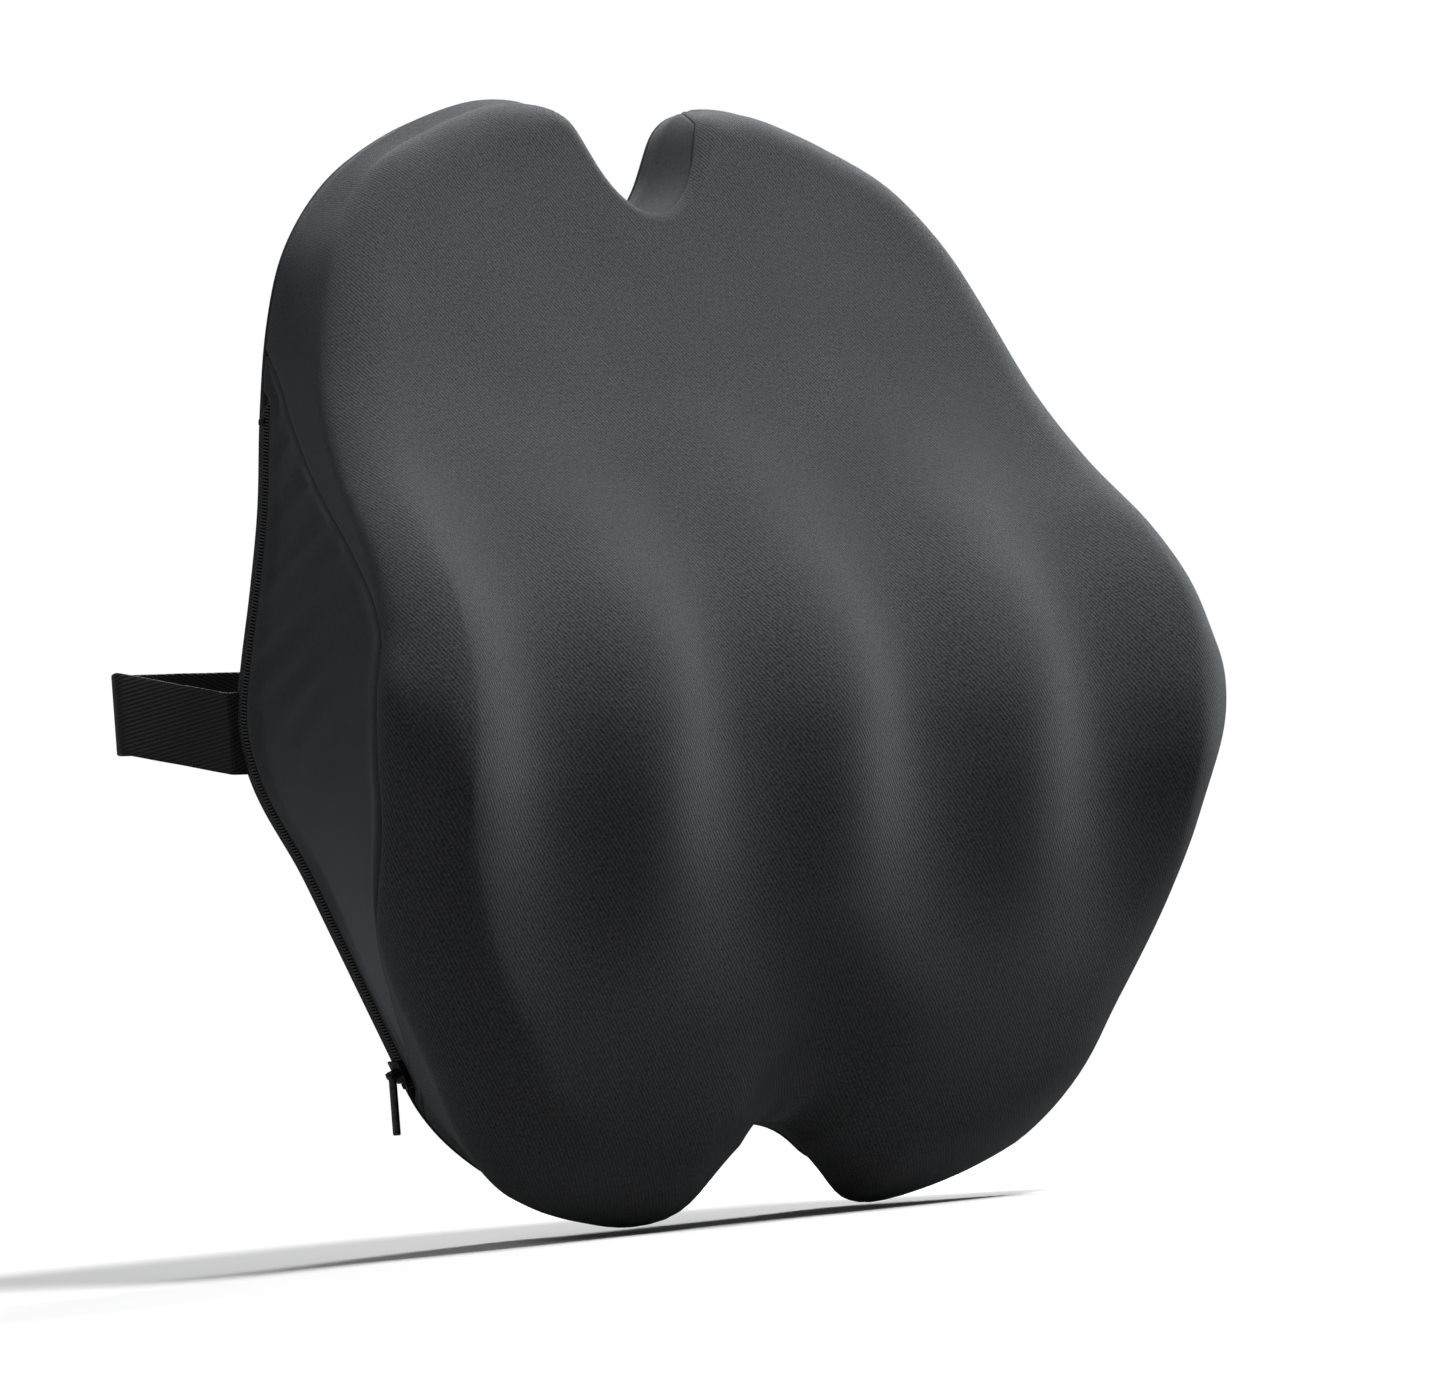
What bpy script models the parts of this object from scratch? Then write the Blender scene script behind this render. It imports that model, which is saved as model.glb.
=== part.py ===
"""Lumbar support cushion: moulded foam in a zipped knitted cover, held to a backrest by an elastic strap.

Metres, +Z up. The front faces -Y, the flat back panel lies in the plane y = 0, with the strap loop behind it.
The lengths below are in millimetres and are scaled by MM where meshes are made. "Depth" is measured forward
from the back panel, so a point at depth q has y = -q.
"""

import math

import bmesh
import bpy
import numpy as np
from mathutils import Matrix, Vector

MM = 0.001

# Half outline of the back panel as (x, z), from the foot of the top notch to the crown of the bottom notch.
OUTLINE = [
    (0, 183), (9, 187), (16, 196), (22, 209), (28, 221), (38, 228), (56, 229), (74, 225),
    (100, 214), (127, 195), (147, 168), (157, 138), (163, 102), (167, 66), (173, 34), (180, 2),
    (183, -20), (177, -45), (159, -79), (121, -164), (111, -179), (97, -192), (83, -201), (70, -205),
    (60, -202), (53, -195), (43, -189), (24, -186), (0, -186),
]
ZIP_RUN = (18, 19)  # the outline is straight between these two points, so that the slider can travel
LOBE_TOP, LOBE_BOTTOM = 6, 23  # outline points where the lobes are tallest

# The padding at each height: (height, depth on the centre line, depth at the rim, how far the front stands
# wider than the back, radius of the front edge).
STATIONS = [
    (-230, 78, 74, 32, 27), (-205, 92, 90, 32, 27), (-180, 104, 102, 31, 28), (-150, 116, 112, 33, 29),
    (-110, 128, 124, 34, 30), (-80, 136, 135, 29, 27), (-50, 141, 147, 18, 24), (-25, 142, 151, 11, 22),
    (-5, 138, 150, 8, 22), (15, 129, 144, 8, 22), (40, 113, 127, 9, 22), (70, 93, 99, 8, 22),
    (100, 75, 79, 4, 22), (140, 58, 63, -2, 20), (180, 46, 50, -5, 18), (230, 36, 36, -6, 16),
]
RIM_HUG = 2.4  # how late the front rises from the centre line to the wings
RIB_PITCH, RIB_HEIGHT, RIB_FADE = 85, 7.5, 186
RIB_CENTRE, RIB_REACH_UP, RIB_REACH_DOWN = -25, 135, 125
NOTCH_HALF = 34
NOTCH_EDGE_RADIUS, NOTCH_OPENING = 5, 5  # the top notch has a crisp edge and opens to the front
CROWN_FALL, CROWN_LEVELS = 4, (190, 225)  # how far the front of the upper lobes lies below their back
LOBE_LEAN, LEAN_REACH = 0.60, 92  # how much the lower lobes lean together towards the front
LOBE_DROP, DROP_LEVELS, DROP_HALVES = 17, (-150, -200), (14, 62)  # how far their front hangs below their back
VALLEY_DEPTH, VALLEY_HALF, VALLEY_TOP, VALLEY_FOOT = 9, 30, -105, -180  # hollow above the bottom notch

# Seam between the front panel and each side gusset: (height, depth). The gusset is a lens.
SEAM = [
    (117, 14), (95, 32), (65, 62), (35, 99), (5, 127), (-20, 131), (-50, 127), (-85, 110), (-120, 78),
    (-160, 17),
]

SKIN = 1.2  # cover fabric
SEAM_GAP, NOTCH_SEAM_GAP, TIP_WIDTH = 0.5, 1.6, 0.1
FOAM_INSET, FOAM_BACK, FOAM_CHAMFER, CHAMFER_DEPTH = 4.6, 1.7, 8.0, 15.0
EDGE_STRIP = 12.5  # the side wall is square to the back panel up to this depth
TRAY = 3.1  # the back panel's edge is turned forward to this depth
SIDE_START = 3.5  # depth where gussets and front panel begin

# Zipper, on the left side wall: depths of its four bands, and their levels over the wall's surface.
ZIP_TOP, ZIP_END_GAP = 112, 3.0
TAPE_BACK, COIL_BACK, COIL_FRONT, TAPE_FRONT = (3.5, 4.6), (4.9, 6.5), (7.5, 9.1), (9.4, 12.4)
ZIP_BORDER = 12.8
TAPE_LEVEL, COIL_LEVEL = (-1.0, -0.2), (-1.0, 1.2)
SLIDER_LENGTH, SLIDER_WIDTH = 9.6, 7.8
SLIDER_FROM_END = 11.0
PIVOT_LEVEL, PIVOT_RADIUS, EYE_HOLE, EYE_RADIUS = 5.0, 0.6, 0.95, 1.7
PULL_LENGTH, PULL_WIDTH, PULL_THICKNESS = 23.0, 4.6, 1.1

# Elastic strap loop: it leaves the back edge, turns round the backrest's edges and runs behind it.
STRAP_WIDTH, STRAP_THICKNESS = 32.0, 1.6
STRAP_HEIGHT, LOOP_HEIGHT = -21.0, -9.0  # mid-height at the cushion and behind the backrest
TAIL_END, TAIL_DEPTH, STRAP_EXIT = 150.0, 2.3, 186.5
CHAIR_EDGE, CHAIR_FRONT, REAR_RUN = 218.0, 27.0, 37.6
ANCHOR_LENGTH, ANCHOR_WIDTH = 26.0, 38.0

# Side-release buckle and strap adjuster behind the backrest.
BUCKLE_AT, BUCKLE_MID = 50.0, 40.0
SOCKET_LENGTH, BUCKLE_WIDTH, BUCKLE_THICKNESS = 36.0, 43.0, 9.0
PLUG_START, PLUG_LENGTH = 36.5, 15.5
BAR, BAR_THICKNESS, SLOT, SLOT_HALF = 2.6, 2.4, 5.4, 17.0
CAVITY_HALF, CAVITY_HEIGHT, CAVITY_START = 18.0, 5.6, 10.5
PRONG_PIVOT, PRONG_OFFSET, PRONG_HALF, PRONG_THICKNESS = 34.6, 11.75, 1.25, 4.4
GLIDE_AT, GLIDE_LENGTH, GLIDE_HALF, GLIDE_RAIL = -90.0, 24.0, 19.8, 2.6

BLACK_KNIT = (0.030, 0.031, 0.034)
BLACK_JERSEY = (0.020, 0.021, 0.024)
BLACK_WEBBING = (0.012, 0.012, 0.013)
BLACK_PLASTIC = (0.014, 0.014, 0.015)
FOAM_WHITE = (0.82, 0.80, 0.72)

for old in list(bpy.data.objects):
    bpy.data.objects.remove(old)
for old in list(bpy.data.collections):
    bpy.data.collections.remove(old)
PARTS = bpy.data.collections.new("lumbar_support_cushion")
CUTTERS = bpy.data.collections.new("cutters")
for collection in (PARTS, CUTTERS):
    bpy.context.scene.collection.children.link(collection)
CUTTERS.hide_render = True


# ---------------------------------------------------------------- helpers


def material(name, colour, roughness, metallic=0.0):
    found = bpy.data.materials.get(name)
    if found:
        return found
    made = bpy.data.materials.new(name)
    made.use_nodes = True
    shader = made.node_tree.nodes["Principled BSDF"]
    shader.inputs["Base Color"].default_value = (*colour, 1)
    shader.inputs["Roughness"].default_value = roughness
    shader.inputs["Metallic"].default_value = metallic
    return made


def finished(obj, look, smooth_angle=40):
    obj.data.materials.append(look)
    if obj.type == "MESH":
        obj.data.shade_smooth()
        obj.data.set_sharp_from_angle(angle=math.radians(smooth_angle))
    PARTS.objects.link(obj)
    return obj


def mesh_object(name, points, faces):
    """An object from points in millimetres."""
    mesh = bpy.data.meshes.new(name)
    mesh.from_pydata([tuple(np.asarray(p, float) * MM) for p in points], [], faces)
    mesh.update()
    return bpy.data.objects.new(name, mesh)


def box(low, high, bevel=0.0):
    """A free bmesh box between two corners in millimetres, with its edges rounded."""
    made = bmesh.new()
    low, high = Vector(low) * MM, Vector(high) * MM
    size, middle = high - low, (high + low) / 2
    matrix = Matrix.Translation(middle) @ Matrix.Diagonal((*size, 1))
    bmesh.ops.create_cube(made, size=1, matrix=matrix)
    if bevel:
        bmesh.ops.bevel(made, geom=made.edges[:], offset=bevel * MM, segments=2, affect="EDGES", profile=0.5)
    return made


def rod(start, end, radius, sides=16):
    """A free bmesh cylinder between two points in millimetres."""
    made = bmesh.new()
    start, end = Vector(start) * MM, Vector(end) * MM
    turn = (end - start).to_track_quat("Z", "Y").to_matrix().to_4x4()
    matrix = Matrix.Translation((start + end) / 2) @ turn
    bmesh.ops.create_cone(made, segments=sides, radius1=radius * MM, radius2=radius * MM,
                          depth=(end - start).length, cap_ends=True, matrix=matrix)
    return made


def to_object(name, made, matrix=None):
    mesh = bpy.data.meshes.new(name)
    made.to_mesh(mesh)
    made.free()
    obj = bpy.data.objects.new(name, mesh)
    if matrix is not None:
        obj.matrix_world = matrix
    return obj


def combine(obj, made, operation, index, matrix=None):
    """Adds or cuts a bmesh shape with a Boolean modifier, and keeps the shape as a hidden cutter."""
    cutter = to_object(f"cut_{obj.name}_{index}", made, matrix)
    cutter.hide_render = True
    cutter.display_type = "WIRE"
    CUTTERS.objects.link(cutter)
    modifier = obj.modifiers.new(f"{operation.lower()}_{index}", "BOOLEAN")
    modifier.operation = operation
    modifier.object = cutter


def assembled(name, base, added=(), removed=(), matrix=None):
    obj = to_object(name, base, matrix)
    for index, made in enumerate(added):
        combine(obj, made, "UNION", index, matrix)
    for index, made in enumerate(removed, start=len(added)):
        combine(obj, made, "DIFFERENCE", index, matrix)
    return obj


def smooth_value(at, places, values):
    """A smooth curve through the stations, read at one or more places."""
    places, values = np.asarray(places, float), np.asarray(values, float)
    slopes = np.gradient(values, places)
    at = np.clip(at, places[0], places[-1])
    k = np.clip(np.searchsorted(places, at, side="right") - 1, 0, len(places) - 2)
    span = places[k + 1] - places[k]
    t = (at - places[k]) / span
    start = (1 + 2 * t) * (1 - t) ** 2 * values[k] + t * (1 - t) ** 2 * span * slopes[k]
    return start + t * t * (3 - 2 * t) * values[k + 1] - t * t * (1 - t) * span * slopes[k + 1]


def smoothstep(value, start, end):
    t = np.clip((value - start) / (end - start), 0, 1)
    return t * t * (3 - 2 * t)


# ---------------------------------------------------------------- the cushion's shape


def half_outline(step=18.0):
    """Points down the +X half of the outline, and the index of each outline point among them."""
    ctrl = np.array(OUTLINE, float)
    tangents = np.zeros_like(ctrl)
    reach = np.linalg.norm(np.diff(ctrl, axis=0), axis=1)
    tangents[1:-1] = (ctrl[2:] - ctrl[:-2]) / (reach[1:] + reach[:-1])[:, None]
    tangents[0], tangents[-1] = (1, 0), (-1, 0)
    first, last = ZIP_RUN
    tangents[first] = tangents[last] = (ctrl[last] - ctrl[first]) / reach[first]
    points, marks = [], []
    for i, length in enumerate(reach):
        count = max(1, round(length / step))
        marks.append(len(points))
        for t in np.arange(count) / count:
            a = (1 + 2 * t) * (1 - t) ** 2 * ctrl[i] + t * (1 - t) ** 2 * length * tangents[i]
            points.append(a + t * t * (3 - 2 * t) * ctrl[i + 1] - t * t * (1 - t) * length * tangents[i + 1])
    return np.array(points + [ctrl[-1]]), marks


HALF, MARKS = half_outline()
RING = np.vstack([HALF, (HALF[1:-1] * (-1, 1))[::-1]])  # closed: down the right side, up the left
COUNT = len(RING)
_, MID_DEPTH, RIM_DEPTH, FLARE, EDGE_RADII = np.array(STATIONS, float).T
LEVELS = [row[0] for row in STATIONS]


def outward(ring):
    """Unit normals of a closed outline that runs clockwise seen from the front."""
    along = np.roll(ring, -1, axis=0) - np.roll(ring, 1, axis=0)
    along /= np.linalg.norm(along, axis=1)[:, None]
    return np.stack([-along[:, 1], along[:, 0]], axis=1)


NORMALS = outward(RING)
IN_NOTCH = np.exp(-((RING[:, 0] / NOTCH_HALF) ** 4)) * (RING[:, 1] > 0)
FLARED = RING - NORMALS * (NOTCH_OPENING * IN_NOTCH)[:, None]
FLARED[:, 0] += (np.sign(RING[:, 0]) * smooth_value(RING[:, 1], LEVELS, FLARE)
                 * np.clip((np.abs(RING[:, 0]) - 40) / 60, 0, 1))
FLARED[:, 0] -= (RING[:, 1] < 0) * LOBE_LEAN * RING[:, 0] * np.exp(-((RING[:, 0] / LEAN_REACH) ** 4))
FLARED[:, 1] -= (LOBE_DROP * smoothstep(RING[:, 1], *DROP_LEVELS)
                 * smoothstep(np.abs(RING[:, 0]), *DROP_HALVES))
FLARED[:, 1] -= CROWN_FALL * smoothstep(RING[:, 1], *CROWN_LEVELS) * (1 - IN_NOTCH)
FLARED_NORMALS = outward(FLARED)
WALL_NORMALS = np.stack([NORMALS[:, 0], np.zeros(COUNT), NORMALS[:, 1]], axis=1)
SIDE = FLARED[MARKS[LOBE_TOP]:MARKS[LOBE_BOTTOM] + 1][::-1]


def front_depth(x, z):
    """Depth of the front face at a place, without the rounding along its edge."""
    width = np.interp(z, SIDE[:, 1], SIDE[:, 0])
    rise = np.minimum(np.abs(x) / width, 1) ** RIM_HUG
    middle, rim = smooth_value(z, LEVELS, MID_DEPTH), smooth_value(z, LEVELS, RIM_DEPTH)
    away = z - RIB_CENTRE
    share = np.clip(np.abs(away) / np.where(away > 0, RIB_REACH_UP, RIB_REACH_DOWN), 0, 1)
    swell = 0.5 + 0.5 * np.cos(np.pi * share)
    rib = np.cos(2 * np.pi * x / RIB_PITCH) * np.clip((RIB_FADE - np.abs(x)) / 20, 0, 1)
    valley = VALLEY_DEPTH * smoothstep(z, VALLEY_TOP, VALLEY_FOOT) * np.exp(-((x / VALLEY_HALF) ** 2))
    return middle + (rim - middle) * rise + RIB_HEIGHT * swell * rib - valley


RIM = front_depth(FLARED[:, 0], FLARED[:, 1])
RADIUS = smooth_value(RING[:, 1], LEVELS, EDGE_RADII)
RADIUS = np.minimum(RADIUS, RIM / 2) * (1 - IN_NOTCH) + NOTCH_EDGE_RADIUS * IN_NOTCH
WALL = RIM - RADIUS  # depth where the side wall ends


def wall_row(depth, level=0.0):
    """A ring of points on the side wall at a depth, or a little outside it."""
    depth = np.broadcast_to(depth, COUNT).astype(float)
    share = np.clip((depth - EDGE_STRIP) / (WALL - EDGE_STRIP), 0, 1)[:, None]
    place = RING + (FLARED - RING) * share
    return np.stack([place[:, 0], -depth, place[:, 1]], axis=1) + WALL_NORMALS * level


def edge_row(turn):
    """A ring on the rounded edge, from 0 at the side wall to 1 at the front face."""
    angle = turn * math.pi / 2
    inward = RADIUS * (1 - math.cos(angle))
    place = FLARED - FLARED_NORMALS * inward[:, None]
    depth = front_depth(place[:, 0], place[:, 1]) - RADIUS * (1 - math.sin(angle))
    return np.stack([place[:, 0], -depth, place[:, 1]], axis=1)


def face_row(share):
    """A ring on the front face, from 1 at the rounded edge to 0 at its middle."""
    place = (FLARED - FLARED_NORMALS * RADIUS[:, None]) * share
    return np.stack([place[:, 0], -front_depth(place[:, 0], place[:, 1]), place[:, 1]], axis=1)


FRONT_ROWS = [edge_row(t) for t in (0.34, 0.67, 1.0)]
FRONT_ROWS += [face_row(s) for s in (0.87, 0.73, 0.485, 0.243, 0.06)]


def row_normals(rows):
    rows = np.asarray(rows)
    along = np.roll(rows, -1, axis=1) - np.roll(rows, 1, axis=1)
    across = np.gradient(rows, axis=0)
    normal = np.cross(across, along)
    normal /= np.linalg.norm(normal, axis=2)[:, :, None]
    return normal


def strip_faces(rows, first, width, closed):
    """Quads between consecutive rows of points, numbered from first."""
    last = width if closed else width - 1
    return [
        (first + r * width + i, first + r * width + (i + 1) % width,
         first + (r + 1) * width + (i + 1) % width, first + (r + 1) * width + i)
        for r in range(rows - 1) for i in range(last)
    ]


def sealed(obj):
    """Turns all faces outward."""
    made = bmesh.new()
    made.from_mesh(obj.data)
    bmesh.ops.recalc_face_normals(made, faces=made.faces)
    made.to_mesh(obj.data)
    made.free()
    return obj


def patch(name, rows, normals):
    """An open sheet of fabric through rows of points, thickened inward."""
    rows = np.asarray(rows)
    count, width = rows.shape[:2]
    points = np.concatenate([rows.reshape(-1, 3), (rows - normals * SKIN).reshape(-1, 3)])
    total = count * width
    top = strip_faces(count, 0, width, False)
    under = [tuple(reversed([k + total for k in face])) for face in top]
    rim = list(range(width)) + [r * width + width - 1 for r in range(1, count)]
    rim += [(count - 1) * width + i for i in range(width - 2, -1, -1)]
    rim += [r * width for r in range(count - 2, 0, -1)]
    sides = [(rim[k], rim[(k + 1) % len(rim)], rim[(k + 1) % len(rim)] + total, rim[k] + total)
             for k in range(len(rim))]
    return sealed(mesh_object(name, points, top + under + sides))


# ---------------------------------------------------------------- foam and cover


def is_left():
    return RING[:, 0] < -60


def seam_depth():
    """Depth where the front panel begins: at the seam beside a gusset, at the back edge elsewhere."""
    heights, depths = np.array(SEAM[::-1], float).T
    z = RING[:, 1]
    beside = (np.abs(RING[:, 0]) > 100) & (z < heights[-1]) & (z > heights[0])
    start = np.where(beside, smooth_value(z, heights, depths), SIDE_START)
    zipped = is_left() & (z < ZIP_TOP + 16) & (z > OUTLINE[ZIP_RUN[1]][1] - 6)
    start = np.where(zipped, np.maximum(start, ZIP_BORDER), start)
    notch = (np.abs(RING[:, 0]) < NOTCH_HALF - 4) & (z > 0)
    return np.where(notch, WALL - SEAM_GAP, np.minimum(start, WALL - SEAM_GAP)), beside, notch


SEAM_DEPTH, BESIDE_GUSSET, AT_NOTCH = seam_depth()


def foam_core():
    chamfer = np.minimum(CHAMFER_DEPTH, 0.7 * WALL)
    inset = [wall_row(q) for q in (chamfer, 0.5 * (chamfer + WALL), WALL)] + FRONT_ROWS
    inset = np.asarray(inset) - row_normals(inset) * FOAM_INSET
    back = wall_row(FOAM_BACK, -FOAM_CHAMFER)
    rows = np.concatenate([back[None], inset])
    points = np.concatenate([rows.reshape(-1, 3), [[0, FOAM_INSET - front_depth(0.0, 0.0), 0]]])
    faces = strip_faces(len(rows), 0, COUNT, True)
    last = (len(rows) - 1) * COUNT
    faces += [(last + i, last + (i + 1) % COUNT, len(points) - 1) for i in range(COUNT)]
    faces.append(tuple(range(COUNT)))
    foam = sealed(mesh_object("foam_core", points, faces))
    for index, side in enumerate((-1, 1)):
        x = sorted((side * (TAIL_END - 4), side * (STRAP_EXIT + 6)))
        pocket = box((x[0], -5.6, STRAP_HEIGHT - 22), (x[1], 2, STRAP_HEIGHT + 22))
        combine(foam, pocket, "DIFFERENCE", index)
    return finished(foam, material("memory_foam", FOAM_WHITE, 0.9))


def cover_front_panel():
    start = SEAM_DEPTH + SEAM_GAP / 2
    rows = np.asarray([wall_row(start), wall_row(0.5 * (start + WALL)), wall_row(WALL)] + FRONT_ROWS)
    normals = row_normals(rows)
    normals[:2] = WALL_NORMALS
    outer = np.concatenate([rows.reshape(-1, 3), [[0, -front_depth(0.0, 0.0), 0]]])
    inner = np.concatenate([(rows - normals * SKIN).reshape(-1, 3), [[0, SKIN - front_depth(0.0, 0.0), 0]]])
    total, last = len(outer), (len(rows) - 1) * COUNT
    sheet = strip_faces(len(rows), 0, COUNT, True)
    sheet += [(last + i, last + (i + 1) % COUNT, total - 1) for i in range(COUNT)]
    under = [tuple(reversed([k + total for k in face])) for face in sheet]
    hem = [(i, (i + 1) % COUNT, (i + 1) % COUNT + total, i + total) for i in range(COUNT)]
    panel = sealed(mesh_object("cover_front_panel", np.concatenate([outer, inner]), sheet + under + hem))
    return finished(panel, material("air_knit", BLACK_KNIT, 0.85))


def wall_patch(name, chosen, low, high, look, rows=3):
    """A panel on the side wall between two depths, over a stretch of the outline, tapered at both ends."""
    order = np.flatnonzero(chosen)
    gap = np.flatnonzero(np.diff(order) > 1)
    if len(gap):
        order = np.roll(order, -(gap[0] + 1))
    tips = [order[0] - 1, (order[-1] + 1) % COUNT]
    high = high.copy()
    high[tips] = low[tips] + TIP_WIDTH
    order = np.concatenate([tips[:1], order, tips[1:]])
    grid = [wall_row(low + (high - low) * share)[order] for share in np.linspace(0, 1, rows)]
    return finished(patch(name, grid, WALL_NORMALS[order]), look)


def cover_gussets():
    jersey = material("jersey", BLACK_JERSEY, 0.8)
    for side, name in ((-1, "left"), (1, "right")):
        low = np.full(COUNT, ZIP_BORDER if side < 0 else SIDE_START)
        high = SEAM_DEPTH - SEAM_GAP / 2
        chosen = BESIDE_GUSSET & (np.sign(RING[:, 0]) == side) & (high - low > 1.5)
        wall_patch(f"cover_side_gusset_{name}", chosen, low, high, jersey, rows=4)
    low = np.full(COUNT, SIDE_START)
    high = SEAM_DEPTH - NOTCH_SEAM_GAP
    wall_patch("cover_top_notch_gusset", AT_NOTCH, low, high, jersey)


def cover_back_panel():
    """A flat panel with its edge turned forward, cut away where the straps pass."""
    rings = [wall_row(TRAY), wall_row(0), wall_row(SKIN, -SKIN), wall_row(TRAY, -SKIN)]
    points = np.concatenate(rings)
    faces = strip_faces(2, 0, COUNT, True) + strip_faces(2, 2 * COUNT, COUNT, True)
    faces += [(i + 3 * COUNT, (i + 1) % COUNT + 3 * COUNT, (i + 1) % COUNT, i) for i in range(COUNT)]
    faces.append(tuple(range(COUNT, 2 * COUNT)))
    faces.append(tuple(reversed(range(2 * COUNT, 3 * COUNT))))
    panel = sealed(mesh_object("cover_back_panel", points, faces))
    half = STRAP_WIDTH / 2 + 1
    for index, side in enumerate((-1, 1)):
        x = sorted((side * (STRAP_EXIT - 12), side * (STRAP_EXIT + 4)))
        slot = box((x[0], -TRAY - 1, STRAP_HEIGHT - half), (x[1], -SKIN - 0.05, STRAP_HEIGHT + half))
        combine(panel, slot, "DIFFERENCE", index)
    return finished(panel, material("back_knit", BLACK_JERSEY, 0.85))


# ---------------------------------------------------------------- zipper

RUN_TOP = np.array(OUTLINE[ZIP_RUN[0]], float) * (-1, 1)
RUN_END = np.array(OUTLINE[ZIP_RUN[1]], float) * (-1, 1)
RUN_ALONG = (RUN_TOP - RUN_END) / np.linalg.norm(RUN_TOP - RUN_END)
ZIP_MIDDLE = 0.5 * (COIL_BACK[1] + COIL_FRONT[0])


def zip_place(distance, level=0.0):
    """A point of the straight zipper run, at a distance up it from its lower end, on its middle line."""
    normal = np.array((-RUN_ALONG[1], RUN_ALONG[0]))
    place = RUN_END + RUN_ALONG * distance + normal * level
    return Vector((place[0], -ZIP_MIDDLE, place[1]))


def zip_frame(distance):
    """X up the zipper, Y to the back, Z out of the side wall, at a place on the zipper's middle line."""
    along = Vector((RUN_ALONG[0], 0, RUN_ALONG[1]))
    turn = Matrix((along, (0, 1, 0), along.cross(Vector((0, 1, 0))))).transposed().to_4x4()
    return Matrix.Translation(zip_place(distance) * MM) @ turn


def zip_band(name, depths, levels, look, end_gap=ZIP_END_GAP):
    """A bar of rectangular section that follows the left back edge."""
    first = COUNT - (MARKS[ZIP_RUN[1]])
    chosen = [i for i in range(COUNT) if is_left()[i] and i > first and RING[i, 1] < ZIP_TOP]
    corners = [(levels[0], depths[0]), (levels[1], depths[0]), (levels[1], depths[1]), (levels[0], depths[1])]
    start = zip_place(end_gap)
    normal = (-RUN_ALONG[1], RUN_ALONG[0])
    sections = [[(start.x + normal[0] * u, -q, start.z + normal[1] * u) for u, q in corners]]
    for i in chosen:
        sections.append([(RING[i, 0] + NORMALS[i, 0] * u, -q, RING[i, 1] + NORMALS[i, 1] * u)
                         for u, q in corners])
    points = np.asarray(sections).reshape(-1, 3)
    faces = strip_faces(len(sections), 0, 4, True)
    faces += [(0, 1, 2, 3), tuple(len(points) - k for k in (1, 2, 3, 4))]
    return finished(sealed(mesh_object(name, points, faces)), look, 60)


def zipper():
    tape = material("zipper_tape", BLACK_WEBBING, 0.8)
    coil = material("zipper_coil", BLACK_PLASTIC, 0.45)
    metal = material("blackened_metal", (0.02, 0.02, 0.022), 0.35, 0.8)
    zip_band("zipper_tape_back", TAPE_BACK, TAPE_LEVEL, tape)
    zip_band("zipper_coil_back", COIL_BACK, COIL_LEVEL, coil)
    zip_band("zipper_coil_front", COIL_FRONT, COIL_LEVEL, coil)
    zip_band("zipper_tape_front", TAPE_FRONT, TAPE_LEVEL, tape)
    stops()
    zip_slider(metal)
    zip_pull(metal)


def stops():
    """Metal clips at both ends: one on each coil where the slider stops, one across both at the far end."""
    metal = material("blackened_metal", (0.02, 0.02, 0.022), 0.35, 0.8)
    frame = zip_frame(ZIP_END_GAP + 1.8)
    for name, depths in (("back", COIL_BACK), ("front", COIL_FRONT)):
        y = sorted(ZIP_MIDDLE - q for q in depths)
        clip = to_object(f"zipper_top_stop_{name}", box((-1.2, y[0], 1.5), (1.2, y[1], 2.3), 0.2), frame)
        finished(clip, metal)
    far = max(i for i in range(COUNT) if is_left()[i] and RING[i, 1] < ZIP_TOP)
    along = Vector((RING[far][0] - RING[far - 1][0], 0, RING[far][1] - RING[far - 1][1])).normalized()
    turn = Matrix((along, (0, 1, 0), along.cross(Vector((0, 1, 0))))).transposed().to_4x4()
    place = Matrix.Translation(Vector((RING[far][0], -ZIP_MIDDLE, RING[far][1])) * MM) @ turn
    half = ZIP_MIDDLE - COIL_BACK[0]
    clip = to_object("zipper_bottom_stop", box((-4.2, -half, 1.4), (-2.0, half, 2.0), 0.15), place)
    finished(clip, metal)


def zip_slider(metal):
    length, width = SLIDER_LENGTH / 2, SLIDER_WIDTH / 2
    ear = PIVOT_LEVEL + 1.0
    added = [
        box((-length, -width, -2.6), (length, width, -1.5), 0.3),
        box((length - 2.6, -0.25, -1.7), (length - 0.6, 0.25, 1.8)),
        box((-length + 0.6, -width, 0.2), (length - 0.6, 0.6 - width, 1.8)),
        box((-length + 0.6, width - 0.6, 0.2), (length - 0.6, width, 1.8)),
        box((-1.3, -3.4, 2.4), (1.3, -2.6, ear), 0.15),
        box((-1.3, 2.6, 2.4), (1.3, 3.4, ear), 0.15),
        rod((0, -3.0, PIVOT_LEVEL), (0, 3.0, PIVOT_LEVEL), PIVOT_RADIUS),
    ]
    plate = box((-length, -width, 1.6), (length, width, 2.7), 0.3)
    slider = assembled("zipper_slider", plate, added, matrix=zip_frame(SLIDER_FROM_END))
    return finished(slider, metal)


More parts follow.
